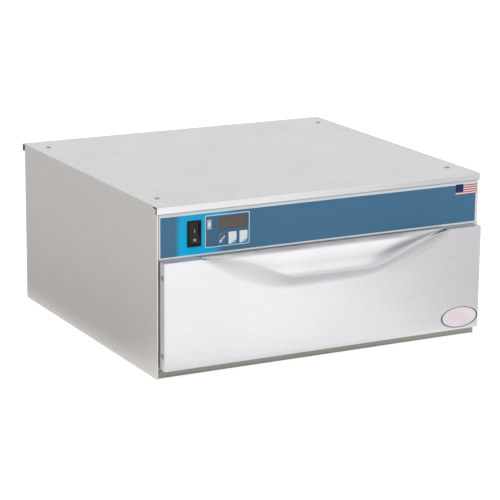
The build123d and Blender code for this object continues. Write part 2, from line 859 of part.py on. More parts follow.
with BuildPart() as drawer_side_screws:
    with Locations(*[Plane(origin=(front_half_width, y, z), z_dir=(1, 0, 0)) for y, z in side_screw_places]):
        add(screw(side_screw_length))
    mirror(about=Plane.YZ)
save(drawer_side_screws, "drawer_side_screws")

gasket_width = 8.0
gasket_setback = 2.0
gasket_thickness = front_seam - panel_fit
gasket_half_width = cavity_half_width + gasket_setback + gasket_width
gasket_bottom = cavity_bottom - gasket_setback - gasket_width
gasket_top = cavity_top + gasket_setback + gasket_width
with BuildPart() as drawer_gasket:
    with BuildSketch(front_plane(drawer_back)):
        with Locations((0, (gasket_bottom + gasket_top) / 2)):
            RectangleRounded(2 * gasket_half_width, gasket_top - gasket_bottom, gasket_width)
            RectangleRounded(
                2 * (gasket_half_width - gasket_width),
                gasket_top - gasket_bottom - 2 * gasket_width,
                gasket_width / 2,
                mode=Mode.SUBTRACT,
            )
    extrude(amount=-gasket_thickness)
    chamfer(drawer_gasket.faces().sort_by(Axis.Y)[-1].edges(), gasket_thickness / 2)
save(drawer_gasket, "drawer_gasket")

front_blanket_top = front_top - pull_foot_drop - 2 * pull_bend
front_blanket_half = front_half_width - side_screw_length - blanket_gap
with BuildPart() as drawer_front_insulation:
    with BuildSketch(front_plane(drawer_face + front_sheet + blanket_gap)):
        with Locations((0, (inner_panel_bottom + front_blanket_top) / 2)):
            Rectangle(2 * front_blanket_half, front_blanket_top - inner_panel_bottom)
    extrude(amount=-(inner_panel_front - drawer_face - front_sheet - 2 * blanket_gap))
save(drawer_front_insulation, "drawer_front_insulation")

# ==== Drawer frame and pan

# Welded frame: a ring of angle whose ledge carries the pan by its rim.
frame_top = pan_top - pan_sheet
frame_middle_y = drawer_back + drawer_frame_depth / 2
frame_wall = shell_sheet
frame_inner_half = drawer_frame_half_width - frame_wall
with BuildPart() as drawer_frame:
    with BuildSketch(Plane.XY.offset(frame_top - drawer_frame_height)):
        with Locations((0, frame_middle_y)):
            RectangleRounded(2 * drawer_frame_half_width, drawer_frame_depth, bend_radius)
            Rectangle(2 * frame_inner_half, drawer_frame_depth - 2 * frame_wall, mode=Mode.SUBTRACT)
    extrude(amount=drawer_frame_height)
    with BuildSketch(Plane.XY.offset(frame_top - frame_wall)):
        with Locations((0, frame_middle_y)):
            Rectangle(2 * drawer_frame_half_width - frame_wall, drawer_frame_depth - frame_wall)
            RectangleRounded(
                pan_length - 2 * pan_rim + 2 * frame_wall,
                pan_width - 2 * pan_rim + 2 * frame_wall,
                pan_corner,
                mode=Mode.SUBTRACT,
            )
    extrude(amount=frame_wall)
save(drawer_frame, "drawer_frame")

# Full-size food pan: tapered walls, rounded corners and a flat rim.
pan_body_length = pan_length - 2 * pan_rim
pan_body_width = pan_width - 2 * pan_rim


def pan_layer(z, inset):
    """Rounded outline of the pan's body at one height, drawn in by the inset."""
    with BuildSketch(Plane.XY.offset(z)) as layer:
        with Locations((0, frame_middle_y)):
            RectangleRounded(pan_body_length - 2 * inset, pan_body_width - 2 * inset, pan_corner - inset)
    return layer.sketch


with BuildPart() as food_pan:
    loft([pan_layer(pan_bottom, pan_taper), pan_layer(pan_top, 0)])
    with BuildSketch(Plane.XY.offset(pan_top - pan_sheet)):
        with Locations((0, frame_middle_y)):
            RectangleRounded(pan_length, pan_width, pan_rim_corner)
    extrude(amount=pan_sheet)
    loft(
        [pan_layer(pan_bottom + pan_sheet, pan_taper + pan_sheet), pan_layer(pan_top + pan_sheet, pan_sheet)],
        mode=Mode.SUBTRACT,
    )
save(food_pan, "food_pan")

# Oval badge plate on the drawer front, without any marking.
with BuildPart() as drawer_badge:
    with BuildSketch(front_plane(drawer_face)):
        with Locations((badge_x, badge_z)):
            Ellipse(badge_width / 2, badge_height / 2)
    extrude(amount=badge_thickness)
    fillet(drawer_badge.faces().sort_by(Axis.Y)[0].edges(), badge_thickness / 2)
save(drawer_badge, "drawer_badge")

# ==== Control panel

panel_face = cabinet_front + overlay_thickness
fascia_profile = [
    (panel_face + panel_return, panel_top),
    (panel_face, panel_top),
    (panel_face, panel_bottom),
    (panel_face + panel_return, panel_bottom),
]
switch_body_width = rocker_width + 2 * panel_fit + 2 * switch_wall
switch_opening_height = 2 * (rocker_half_length + rocker_end_gap)
switch_body_height = switch_opening_height + 2 * switch_wall
controller_body_width = controller_width - 2 * controller_body_margin
controller_body_height = controller_height - 2 * controller_body_margin


def panel_cutouts():
    """Adds the openings for the switch and the controller to the sketch in hand."""
    with Locations((switch_x, switch_z)):
        Rectangle(switch_body_width + 2 * panel_fit, switch_body_height + 2 * panel_fit)
    with Locations((controller_x, controller_z)):
        Rectangle(controller_body_width + 2 * panel_fit, controller_body_height + 2 * panel_fit)


with BuildPart() as control_fascia:
    with BuildSketch(Plane.YZ.offset(-face_half_width)):
        add(bent_sheet(fascia_profile, shell_sheet))
    extrude(amount=2 * face_half_width)
    with BuildSketch(front_plane(panel_face)):
        panel_cutouts()
    extrude(amount=-shell_sheet, mode=Mode.SUBTRACT)
save(control_fascia, "control_fascia")

# Printed film stuck over the whole fascia.
with BuildPart() as control_overlay:
    with BuildSketch(front_plane(cabinet_front)):
        with Locations((0, (panel_bottom + panel_top) / 2)):
            RectangleRounded(2 * face_half_width, panel_top - panel_bottom, overlay_corner)
    extrude(amount=-overlay_thickness)
    with BuildSketch(front_plane(cabinet_front)):
        panel_cutouts()
    extrude(amount=-overlay_thickness, mode=Mode.SUBTRACT)
save(control_overlay, "control_overlay")

# Power switch: a bezel on the film, an open body behind it and a rocker on two stub pins.
rocker_pivot_y = cabinet_front + rocker_pivot_depth
switch_face = cabinet_front - switch_bezel_thickness
switch_pocket_depth = rocker_pivot_depth + rocker_hub_radius + rocker_end_gap
with BuildPart() as switch_housing:
    with BuildSketch(front_plane(cabinet_front)):
        with Locations((switch_x, switch_z)):
            RectangleRounded(switch_bezel_width, switch_bezel_height, bend_radius)
    extrude(amount=switch_bezel_thickness)
    chamfer(switch_housing.faces().sort_by(Axis.Y)[0].edges(), switch_bezel_thickness / 3)
    with BuildSketch(front_plane(cabinet_front)):
        with Locations((switch_x, switch_z)):
            Rectangle(switch_body_width, switch_body_height)
    extrude(amount=-switch_body_depth)
    with BuildSketch(front_plane(switch_face)):
        with Locations((switch_x, switch_z)):
            Rectangle(rocker_width + 2 * panel_fit, switch_opening_height)
    extrude(amount=-(switch_bezel_thickness + switch_pocket_depth), mode=Mode.SUBTRACT)
    with BuildSketch(Plane.YZ.offset(switch_x - switch_body_width / 2)):
        with Locations((rocker_pivot_y, switch_z)):
            Circle(rocker_pin_radius + rocker_pin_fit)
    extrude(amount=switch_body_width, mode=Mode.SUBTRACT)
    with BuildSketch(front_plane(cabinet_front + switch_body_depth)):
        with Locations((switch_x, switch_z)):
            with GridLocations(0, terminal_spacing, 1, 3):
                Rectangle(terminal_blade[1], terminal_blade[0])
    extrude(amount=-terminal_rise)
save(switch_housing, "switch_housing")

rocker_outline = [
    (-rocker_crown, -rocker_half_length),
    (-rocker_waist, 0),
    (-rocker_crown, rocker_half_length),
    (0, rocker_half_length - rocker_end_bevel),
    (rocker_hub_radius, rocker_pin_radius),
    (rocker_hub_radius, -rocker_pin_radius),
    (0, rocker_end_bevel - rocker_half_length),
]
rocker_pivot = (switch_x, rocker_pivot_y, switch_z)
rocker_lean = math.radians(rocker_tilt)
rocker_rear = (0, math.cos(rocker_lean), -math.sin(rocker_lean))
rocker_plane = Plane(origin=rocker_pivot, x_dir=rocker_rear, z_dir=(1, 0, 0))
with BuildPart() as switch_rocker:
    with BuildSketch(rocker_plane):
        Polygon(*rocker_outline, align=None)
    extrude(amount=rocker_width / 2, both=True)
    with BuildSketch(rocker_plane):
        Circle(rocker_pin_radius)
    extrude(amount=rocker_width / 2 + panel_fit + switch_wall, both=True)
save(switch_rocker, "switch_rocker")

# Controller: a lipped box through the fascia with a window, a pilot lens and three keys.
controller_face = cabinet_front - controller_lip
controller_inside = controller_face + controller_front_wall
controller_space_width = controller_body_width - 2 * controller_wall
controller_space_height = controller_body_height - 2 * controller_wall
window_place = (controller_x + window_offset_x, controller_z + window_offset_z)
lens_place = (controller_x + lens_offset_x, controller_z + lens_offset_z)
key_first_x = controller_x + key_offset_x
key_z = controller_z + key_offset_z
key_places = [(key_first_x + index * key_pitch, key_z) for index in range(3)]
with BuildPart() as controller_housing:
    with BuildSketch(front_plane(cabinet_front)):
        with Locations((controller_x, controller_z)):
            RectangleRounded(controller_width, controller_height, controller_corner)
    extrude(amount=controller_lip)
    with BuildSketch(front_plane(cabinet_front)):
        with Locations((controller_x, controller_z)):
            Rectangle(controller_body_width, controller_body_height)
    extrude(amount=-controller_body_depth)
    with BuildSketch(front_plane(controller_inside)):
        with Locations((controller_x, controller_z)):
            Rectangle(controller_space_width, controller_space_height)
    extrude(amount=-controller_body_depth, mode=Mode.SUBTRACT)
    with BuildSketch(front_plane(controller_face)):
        with Locations(*key_places):
            RectangleRounded(key_width + 2 * key_clearance, key_height + 2 * key_clearance, key_corner)
        with Locations(window_place):
            Rectangle(window_width + 2 * panel_fit, window_height + 2 * panel_fit)
        with Locations(lens_place):
            Rectangle(lens_width + 2 * panel_fit, lens_height + 2 * panel_fit)
    extrude(amount=-controller_front_wall, mode=Mode.SUBTRACT)
save(controller_housing, "controller_housing")

with BuildPart() as display_window:
    with BuildSketch(front_plane(controller_face)):
        with Locations(window_place):
            Rectangle(window_width, window_height)
    extrude(amount=-controller_front_wall)
save(display_window, "display_window")

with BuildPart() as indicator_lens:
    with BuildSketch(front_plane(controller_face)):
        with Locations(lens_place):
            Rectangle(lens_width, lens_height)
    extrude(amount=-controller_front_wall)
save(indicator_lens, "indicator_lens")

# Each key is a cap in its hole, with a collar behind the wall and a stem that presses its contact.
collar_front = controller_inside + panel_fit
contact_face = collar_front + key_collar_thickness + contact_gap
board_face = contact_face + contact_height
for key_name, key_place in zip(("set_key", "down_key", "up_key"), key_places):
    with BuildPart() as key:
        with BuildSketch(front_plane(controller_face - key_proud)):
            with Locations(key_place):
                RectangleRounded(key_width, key_height, key_corner)
        extrude(amount=-(collar_front - controller_face + key_proud))
        chamfer(key.faces().sort_by(Axis.Y)[0].edges(), key_proud)
        with BuildSketch(front_plane(collar_front)):
            with Locations(key_place):
                Rectangle(key_width + 2 * key_collar, key_height)
        extrude(amount=-key_collar_thickness)
        with BuildSketch(front_plane(collar_front)):
            with Locations(key_place):
                Circle(key_stem_radius)
        extrude(amount=-(key_collar_thickness + contact_gap + contact_height / 2))
    save(key, key_name)

# Circuit board with the display block, the three contacts and two relays.
with BuildPart() as controller_board:
    with BuildSketch(front_plane(board_face)):
        with Locations((controller_x, controller_z)):
            Rectangle(controller_space_width - 2 * panel_fit, controller_space_height - 2 * panel_fit)
    extrude(amount=-board_thickness)
    with BuildSketch(front_plane(board_face)):
        with Locations(*key_places):
            Rectangle(contact_size, contact_size)
            Circle(key_stem_radius + panel_fit, mode=Mode.SUBTRACT)
    extrude(amount=contact_height)
    with BuildSketch(front_plane(board_face)):
        with Locations(window_place):
            Rectangle(window_width - 2 * board_thickness, window_height - 2 * board_thickness)
    extrude(amount=board_face - controller_inside - panel_fit)
    with BuildSketch(front_plane(board_face + board_thickness)):
        with Locations((controller_x, controller_z)):
            with GridLocations(relay_pitch, 0, 2, 1):
                Rectangle(relay_width, relay_height)
    extrude(amount=-relay_depth)
save(controller_board, "controller_board")

# ==== Control space above the cavity

tray_profile = [
    (-base_half_width, compartment_floor + tray_flange),
    (-base_half_width, compartment_floor),
    (base_half_width, compartment_floor),
    (base_half_width, compartment_floor + tray_flange),
]
with BuildPart() as component_tray:
    with BuildSketch(front_plane(base_front)):
        add(bent_sheet(tray_profile, shell_sheet))
    extrude(amount=-(inner_rear - base_front))
    with BuildSketch(Plane.XY.offset(compartment_floor)):
        with Locations(thermostat_place):
            Circle(thermostat_hole)
    extrude(amount=shell_sheet, mode=Mode.SUBTRACT)
save(component_tray, "component_tray")

tray_top = compartment_floor + shell_sheet
terminal_place = (terminal_x, cabinet_front + terminal_y)
with BuildPart() as terminal_block:
    with BuildSketch(Plane.XY.offset(tray_top)):
        with Locations(terminal_place):
            Rectangle(terminal_ways * terminal_pitch, terminal_depth)
    extrude(amount=terminal_height)
    with BuildSketch(Plane.XY.offset(tray_top + terminal_height)):
        with Locations(terminal_place):
            with GridLocations(terminal_pitch, 0, terminal_ways, 1):
                Rectangle(terminal_pitch - terminal_wall, terminal_depth - 2 * terminal_end_wall)
    extrude(amount=-terminal_height / 2, mode=Mode.SUBTRACT)
    with BuildSketch(Plane.XY.offset(tray_top + terminal_height / 2)):
        with Locations(terminal_place):
            with GridLocations(terminal_pitch, terminal_depth / 2, terminal_ways, 2):
                Circle(terminal_screw)
    extrude(amount=terminal_height / 4)
save(terminal_block, "terminal_block")
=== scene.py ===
import json
import math

import bmesh
import bpy
from mathutils import Matrix, Vector


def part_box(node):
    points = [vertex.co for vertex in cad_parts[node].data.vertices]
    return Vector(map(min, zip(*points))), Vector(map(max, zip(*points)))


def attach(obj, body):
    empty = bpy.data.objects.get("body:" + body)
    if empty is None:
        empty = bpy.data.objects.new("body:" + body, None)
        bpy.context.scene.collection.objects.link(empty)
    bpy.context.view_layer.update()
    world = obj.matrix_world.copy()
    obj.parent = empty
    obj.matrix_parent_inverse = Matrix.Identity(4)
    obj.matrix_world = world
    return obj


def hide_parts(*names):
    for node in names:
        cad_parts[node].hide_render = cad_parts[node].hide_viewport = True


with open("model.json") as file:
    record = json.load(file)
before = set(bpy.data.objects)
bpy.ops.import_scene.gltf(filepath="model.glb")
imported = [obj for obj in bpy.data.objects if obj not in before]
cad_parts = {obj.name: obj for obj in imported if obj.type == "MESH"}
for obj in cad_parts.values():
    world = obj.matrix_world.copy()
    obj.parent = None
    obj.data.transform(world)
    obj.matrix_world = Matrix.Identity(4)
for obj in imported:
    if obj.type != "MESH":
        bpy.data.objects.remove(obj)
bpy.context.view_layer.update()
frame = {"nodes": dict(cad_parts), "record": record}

# ---- Cabinet and drawer front, as in the frame
cabinet_front = -0.2665
cabinet_rear = 0.3055
cabinet_top = 0.293
drawer_face = -0.2865
drawer_back = -0.2685
drawer_half = 0.307
drawer_bottom = 0.0188
drawer_top = 0.2025
drawer_sheet = 0.0015
drawer_bend = 0.002
skin_middle = drawer_face + drawer_sheet / 2
sheet_edge = 0.0005
flange_edge = 0.0003

# ---- Pull: half widths of its flat and its wings, its reach, and the fall of its foot and crest from the top
pull_flat = 0.072
pull_wing = 0.240
pull_reach = 0.025
pull_foot_drop = 0.063
pull_crest_drop = 0.0415
pull_bend = 0.008
pull_bend_end = 0.003
# Powers that shape the outline from the flat to the wing tips
crest_sweep = 1.5
crest_peak = 2.8
reach_sweep = 4.0
foot_sweep = 1.7

# ---- Pocket behind the pull
pocket_half = 0.236
pocket_wall = cabinet_front - 0.0085
pocket_sheet = 0.0008
pocket_round = 0.030
pocket_gap = 0.0003
pocket_edge = 0.0002
# Painted shade: the lining's colour darkens between these heights near its top, under the film's panel
pocket_painted_shade = (drawer_top - 0.010, drawer_top - 0.004)

# ---- Film: where the cyan starts at its left and at its slanted right end, and how it fades with height
cyan_left = (-0.280, -0.266)
cyan_right = (-0.176, -0.208)
cyan_height = (0.272, 0.225)
cyan_weakest = 0.78
cyan_slant = -0.28
film_middle_height = 0.24

# ---- Print on the film, as centre (x, z), half size and corner radius
field_patch = ((0.0, 0.2405), (0.3053, 0.0337), 0.0008)
label_patch = ((0.2858, 0.2662), (0.0222, 0.0093), 0.0006)
label_corner = ((0.2715, 0.2686), (0.0079, 0.0069), 0.0004)
stripe_pitch = 0.0040

# ---- Controls, as (x, z)
controller_middle = (-0.1832, 0.2428)
controller_half = (0.0414, 0.0275)
controller_line = 0.0016
first_digit = (-0.1880, 0.2553)
digit_half = (0.0036, 0.0058)
digit_pitch = 0.0150
digit_count = 3
segment_half = 0.0006
segment_share = 0.84
arrow_key_middles = (-0.1736, -0.1532)
key_corner_inner = (-0.001, 0.2150)
key_corner_outer = (0.0065, 0.2200)
key_corner_half = 0.0042
set_key_low = (-0.1961, 0.2240)
set_key_bulb = (-0.1952, 0.2250)
set_key_high = (-0.1886, 0.2322)
on_bar = ((-0.2430, 0.2440), (-0.2430, 0.2482))
off_ring = (-0.2440, 0.2318)
off_ring_radius = 0.0017

# ---- Oval plate, as (x, z)
badge_middle = (0.266, 0.0415)
badge_half = (0.039, 0.0195)


# ==== Wiring helpers

class Bench:
    """A node tree being wired up: each input takes another node's socket or a plain value."""

    def __init__(self, tree):
        self.tree = tree

    def feed(self, socket, what):
        if isinstance(what, bpy.types.NodeSocket):
            self.tree.links.new(what, socket)
        elif what is not None:
            socket.default_value = what

    def place(self, kind, feeds=None, **settings):
        node = self.tree.nodes.new(kind)
        for name, value in settings.items():
            setattr(node, name, value)
        for where, what in (feeds or {}).items():
            self.feed(node.inputs[where], what)
        return node

    def calc(self, operation, *values):
        node = self.place("ShaderNodeMath", operation=operation)
        for socket, what in zip(node.inputs, values):
            self.feed(socket, what)
        return node.outputs[0]

    def chain(self, operation, values):
        result = values[0]
        for value in values[1:]:
            result = self.calc(operation, result, value)
        return result

    def plus(self, *values):
        return self.chain("ADD", values)

    def times(self, *values):
        return self.chain("MULTIPLY", values)

    def less(self, first, second):
        return self.calc("SUBTRACT", first, second)

    def held(self, share):
        """Keeps a share between 0 and 1."""
        return self.calc("MINIMUM", self.calc("MAXIMUM", share, 0.0), 1.0)

    def vector(self, operation, *values):
        node = self.place("ShaderNodeVectorMath", operation=operation)
        for socket, what in zip(node.inputs, values):
            self.feed(socket, what)
        return node.outputs["Value" if operation in ("LENGTH", "DISTANCE", "DOT_PRODUCT") else "Vector"]

    def scaled(self, vector, factor):
        return self.place("ShaderNodeVectorMath", {0: vector, "Scale": factor}, operation="SCALE").outputs[0]

    def joined(self, *vectors):
        """The sum of several vectors."""
        result = vectors[0]
        for vector in vectors[1:]:
            result = self.vector("ADD", result, vector)
        return result

    def combine(self, x=0.0, y=0.0, z=0.0):
        return self.place("ShaderNodeCombineXYZ", {"X": x, "Y": y, "Z": z}).outputs[0]

    def split(self, vector):
        return self.place("ShaderNodeSeparateXYZ", {"Vector": vector}).outputs

    def fade(self, value, start, end, low=0.0, high=1.0):
        """Runs smoothly from low at start to high at end, and stays there."""
        feeds = {"Value": value, "From Min": start, "From Max": end, "To Min": low, "To Max": high}
        return self.place("ShaderNodeMapRange", feeds, interpolation_type="SMOOTHSTEP").outputs[0]

    def stretch(self, value, start, end):
        """Runs evenly from 0 at start to 1 at end, and stays there."""
        feeds = {"Value": value, "From Min": start, "From Max": end, "To Min": 0.0, "To Max": 1.0}
        return self.place("ShaderNodeMapRange", feeds).outputs[0]

    def tint(self, mask, below, above):
        node = self.place("ShaderNodeMix", data_type="RGBA")
        self.feed(node.inputs["Factor"], mask)
        self.feed(node.inputs[6], below)
        self.feed(node.inputs[7], above)
        return node.outputs[2]

    def use(self, tree, **feeds):
        """Places a node group; an input's name is its label in lower case with underscores."""
        kind = "GeometryNodeGroup" if tree.bl_idname == "GeometryNodeTree" else "ShaderNodeGroup"
        node = self.tree.nodes.new(kind)
        node.node_tree = tree
        for socket in node.inputs:
            label = socket.name.lower().replace(" ", "_")
            if label in feeds:
                self.feed(socket, feeds[label])
        return node.outputs


def new_group(kind, name, inputs, outputs):
    """An empty node group with named sockets, ready to be wired."""
    tree = bpy.data.node_groups.new(name, kind)
    for label, socket_type, value in inputs:
        socket = tree.interface.new_socket(name=label, in_out="INPUT", socket_type="NodeSocket" + socket_type)
        if value is not None:
            socket.default_value = value
    for label, socket_type in outputs:
        tree.interface.new_socket(name=label, in_out="OUTPUT", socket_type="NodeSocket" + socket_type)
    bench = Bench(tree)
    return bench, tree.nodes.new("NodeGroupInput").outputs, tree.nodes.new("NodeGroupOutput").inputs


def colour(red, green, blue):
    """A linear colour from display values of 0 to 255."""
    def linear(value):
        share = value / 255
        return share / 12.92 if share <= 0.04045 else ((share + 0.055) / 1.055) ** 2.4

    return (linear(red), linear(green), linear(blue), 1.0)


def toned(tone, factor):
    """A colour made darker or paler."""
    return tuple(min(1.0, value * factor) for value in tone[:3]) + (1.0,)


# ==== Effects that several finishes use

def build_brushed_grain():
    """Fine lines rolled or brushed into sheet metal, long one way and narrow across."""
    bench, given, out = new_group(
        "ShaderNodeTree", "brushed_grain",
        [("Vector", "Vector", None), ("Stretch", "Vector", (10, 900, 900)), ("Depth", "Float", 0.1)],
        [("Streak", "Float"), ("Normal", "Vector")],
    )
    stretched = bench.vector("MULTIPLY", given["Vector"], given["Stretch"])
    feeds = {"Vector": stretched, "Scale": 1.0, "Detail": 3.0, "Roughness": 0.6}
    lines = bench.place("ShaderNodeTexNoise", feeds).outputs[0]
    bump = bench.place("ShaderNodeBump", {"Strength": given["Depth"], "Distance": 0.0003, "Height": lines})
    bench.feed(out["Streak"], bench.fade(lines, 0.3, 0.7))
    bench.feed(out["Normal"], bump.outputs[0])
    return bench.tree


def build_handling_marks():
    """Soft cloudy patches where a surface has been wiped and touched."""
    bench, given, out = new_group(
        "ShaderNodeTree", "handling_marks",
        [("Vector", "Vector", None), ("Patch Size", "Float", 0.06)],
        [("Smudge", "Float")],
    )
    scale = bench.calc("DIVIDE", 1.0, given["Patch Size"])
    cloud = bench.place("ShaderNodeTexNoise", {"Vector": given["Vector"], "Scale": scale, "Detail": 5.0})
    bench.feed(out["Smudge"], bench.fade(cloud.outputs[0], 0.38, 0.72))
    return bench.tree


def build_printed_patch():
    """Mask of a rounded rectangle printed on a face that is looked at along y."""
    bench, given, out = new_group(
        "ShaderNodeTree", "printed_patch",
        [("Vector", "Vector", None), ("Centre", "Vector", None), ("Half Size", "Vector", None),
         ("Corner", "Float", 0.001), ("Edge", "Float", 0.0002)],
        [("Mask", "Float")],
    )
    offset = bench.split(bench.vector("ABSOLUTE", bench.vector("SUBTRACT", given["Vector"], given["Centre"])))
    half = bench.split(given["Half Size"])
    over_x, over_z = (bench.plus(bench.less(offset[axis], half[axis]), given["Corner"]) for axis in "XZ")
    beyond = bench.combine(bench.calc("MAXIMUM", over_x, 0.0), 0.0, bench.calc("MAXIMUM", over_z, 0.0))
    inside = bench.calc("MINIMUM", bench.calc("MAXIMUM", over_x, over_z), 0.0)
    distance = bench.less(bench.plus(bench.vector("LENGTH", beyond), inside), given["Corner"])
    bench.feed(out["Mask"], bench.fade(distance, given["Edge"], bench.times(given["Edge"], -1.0)))
    return bench.tree


def build_printed_stroke():
    """Mask of a round-ended stroke between two points, printed on a face that is looked at along y."""
    bench, given, out = new_group(
        "ShaderNodeTree", "printed_stroke",
        [("Vector", "Vector", None), ("Start", "Vector", None), ("End", "Vector", None),
         ("Half Width", "Float", 0.0005), ("Edge", "Float", 0.0002)],
        [("Mask", "Float")],
    )
    flat = (1, 0, 1)
    run = bench.vector("MULTIPLY", bench.vector("SUBTRACT", given["End"], given["Start"]), flat)
    here = bench.vector("MULTIPLY", bench.vector("SUBTRACT", given["Vector"], given["Start"]), flat)
    covered, whole = (bench.vector("DOT_PRODUCT", vector, run) for vector in (here, run))
    share = bench.calc("DIVIDE", covered, whole)
    nearest = bench.scaled(run, bench.held(share))
    away = bench.less(bench.vector("DISTANCE", here, nearest), given["Half Width"])
    bench.feed(out["Mask"], bench.fade(away, given["Edge"], bench.times(given["Edge"], -1.0)))
    return bench.tree


brushed_grain = build_brushed_grain()
handling_marks = build_handling_marks()
printed_patch = build_printed_patch()
printed_stroke = build_printed_stroke()


# ==== Finishes

def new_finish(name):
    """A material with its Principled shader, its bench and the object coordinates."""
    material = bpy.data.materials.new(name)
    material.use_nodes = True
    tree = material.node_tree
    tree.nodes.clear()
    bench = Bench(tree)
    shader = bench.place("ShaderNodeBsdfPrincipled")
    bench.place("ShaderNodeOutputMaterial", {"Surface": shader.outputs[0]})
    where = bench.place("ShaderNodeTexCoord").outputs["Object"]
    return material, bench, shader, where


def add_wear(bench, shader, where, patch, roughness, swing=0.06):
    """Makes the shine uneven with faint wiping marks, and gives their mask."""
    smudge = bench.use(handling_marks, vector=where, patch_size=patch)["Smudge"]
    bench.feed(shader.inputs["Roughness"], bench.calc("MULTIPLY_ADD", smudge, swing, roughness))
    return smudge


def add_grain(bench, shader, where, stretch, depth):
    """Gives the surface its fine relief, and returns the streaks."""
    grain = bench.use(brushed_grain, vector=where, stretch=stretch, depth=depth)
    bench.feed(shader.inputs["Normal"], grain["Normal"])
    return grain["Streak"]


def patch_mask(bench, where, centre, half_size, corner, edge=0.0002):
    """Mask of a printed patch, given as (x, z)."""
    return bench.use(printed_patch, vector=where, centre=(centre[0], 0, centre[1]),
                     half_size=(half_size[0], 0, half_size[1]), corner=corner, edge=edge)["Mask"]


def stroke_mask(bench, where, start, end, half_width, edge=0.0002):
    """Mask of a printed stroke, given as (x, z)."""
    return bench.use(printed_stroke, vector=where, start=(start[0], 0, start[1]), end=(end[0], 0, end[1]),
                     half_width=half_width, edge=edge)["Mask"]


def steel_finish(name, tone, roughness, stretch, depth=0.12, patch=0.09, shade=None):
    """Satin stainless sheet: brushed lines and faint wiping marks; between the heights in shade its tone
    darkens as painted shade.
    """
    material, bench, shader, where = new_finish(name)
    streak = add_grain(bench, shader, where, stretch, depth)
    spread = bench.calc("MULTIPLY_ADD", streak, 0.05, roughness)
    smudge = add_wear(bench, shader, where, patch, spread, swing=0.04)
    worked = bench.tint(streak, toned(tone, 0.95), toned(tone, 1.03))
    if shade:
        # Painted shade: the tone darkens between the heights in shade
        worked = bench.tint(bench.fade(bench.split(where)["Z"], *shade), worked, toned(tone, 0.55))
    shades = bench.tint(bench.times(smudge, 0.6), worked, toned(tone, 0.97))
    bench.feed(shader.inputs["Base Color"], shades)
    shader.inputs["Metallic"].default_value = 1.0
    return material


def moulded_finish(name, tone, roughness, variation=0.08, grit=900.0, shine=0.5):
    """Moulded plastic or rubber: fine texture, slight colour drift and uneven shine."""
    material, bench, shader, where = new_finish(name)
    add_grain(bench, shader, where, (grit, grit, grit), 0.05)
    smudge = add_wear(bench, shader, where, 0.03, roughness, swing=0.08)
    shades = bench.tint(smudge, toned(tone, 1 - variation), toned(tone, 1 + variation))
    bench.feed(shader.inputs["Base Color"], shades)
    shader.inputs["Specular IOR Level"].default_value = shine
    return material


film_blue = colour(76, 123, 156)
film_cyan = colour(0, 190, 246)
film_white = colour(235, 240, 243)


def film_base(bench, where):
    """Blue of the printed film, with the bright cyan stretch round the switch."""
    at = bench.split(where)
    slanted = bench.calc("MULTIPLY_ADD", bench.less(at["Z"], film_middle_height), cyan_slant, at["X"])
    rising = bench.fade(at["X"], *cyan_left)
    falling = bench.fade(slanted, *cyan_right)
    strongest_low = bench.fade(at["Z"], *cyan_height, cyan_weakest, 1.0)
    return bench.tint(bench.times(rising, falling, strongest_low), film_blue, film_cyan)


def overlay_finish():
    """Printed polyester film: white margin, blue field and a small plain label at the right end."""
    material, bench, shader, where = new_finish("printed_film")
    shade = bench.tint(patch_mask(bench, where, *field_patch), film_white, film_base(bench, where))
    bars = bench.calc("SINE", bench.times(bench.split(where)["Z"], 2 * math.pi / stripe_pitch))
    striped = bench.tint(bench.fade(bars, -0.25, 0.25), colour(240, 240, 242), colour(196, 70, 84))
    sticker = bench.tint(patch_mask(bench, where, *label_corner), striped, colour(40, 52, 104))
    printed = bench.tint(patch_mask(bench, where, *label_patch), shade, sticker)
    bench.feed(shader.inputs["Base Color"], printed)
    add_wear(bench, shader, where, 0.05, 0.3)
    add_grain(bench, shader, where, (1500, 1500, 1500), 0.03)
    shader.inputs["Specular IOR Level"].default_value = 0.14
    return material


def controller_finish():
    """Face of the controller: plain blue with a thin light line just inside its edge."""
    material, bench, shader, where = new_finish("controller_face")
    inner_half = [half - controller_line for half in controller_half]
    outer = patch_mask(bench, where, controller_middle, controller_half, 0.003)
    inner = patch_mask(bench, where, controller_middle, inner_half, 0.002)
    shade = bench.tint(bench.less(outer, inner), colour(70, 108, 138), colour(206, 228, 242))
    bench.feed(shader.inputs["Base Color"], shade)
    add_wear(bench, shader, where, 0.03, 0.3)
    add_grain(bench, shader, where, (1500, 1500, 1500), 0.03)
    shader.inputs["Specular IOR Level"].default_value = 0.2
    return material


def window_finish():
    """Smoked window with three unlit seven-segment digits faintly showing."""
    material, bench, shader, where = new_finish("smoked_window")
    at = bench.split(where)
    row_start = first_digit[0] - digit_pitch / 2
    row_end = row_start + digit_count * digit_pitch
    row_edge = 0.0004
    turned = bench.calc("WRAP", bench.less(at["X"], row_start), digit_pitch, 0.0)
    spot = bench.combine(bench.less(turned, digit_pitch / 2), 0.0, bench.less(at["Z"], first_digit[1]))
    wide, tall = digit_half
    segments = [
        ((-wide, tall), (wide, tall)), ((-wide, 0), (wide, 0)), ((-wide, -tall), (wide, -tall)),
        ((-wide, 0), (-wide, tall)), ((wide, 0), (wide, tall)),
        ((-wide, -tall), (-wide, 0)), ((wide, -tall), (wide, 0)),
    ]
    drawn = 0.0
    for ends in segments:
        middle = [sum(pair) / 2 for pair in zip(*ends)]
        start, end = ([centre + (value - centre) * segment_share for centre, value in zip(middle, point)]
                      for point in ends)
        drawn = bench.calc("MAXIMUM", drawn, stroke_mask(bench, spot, start, end, segment_half))
    in_row = bench.times(bench.fade(at["X"], row_start, row_start + row_edge),
                         bench.fade(at["X"], row_end, row_end - row_edge))
    faint = bench.times(drawn, in_row, 0.7)
    bench.feed(shader.inputs["Base Color"], bench.tint(faint, colour(74, 62, 60), colour(104, 76, 66)))
    add_wear(bench, shader, where, 0.02, 0.16)
    return material


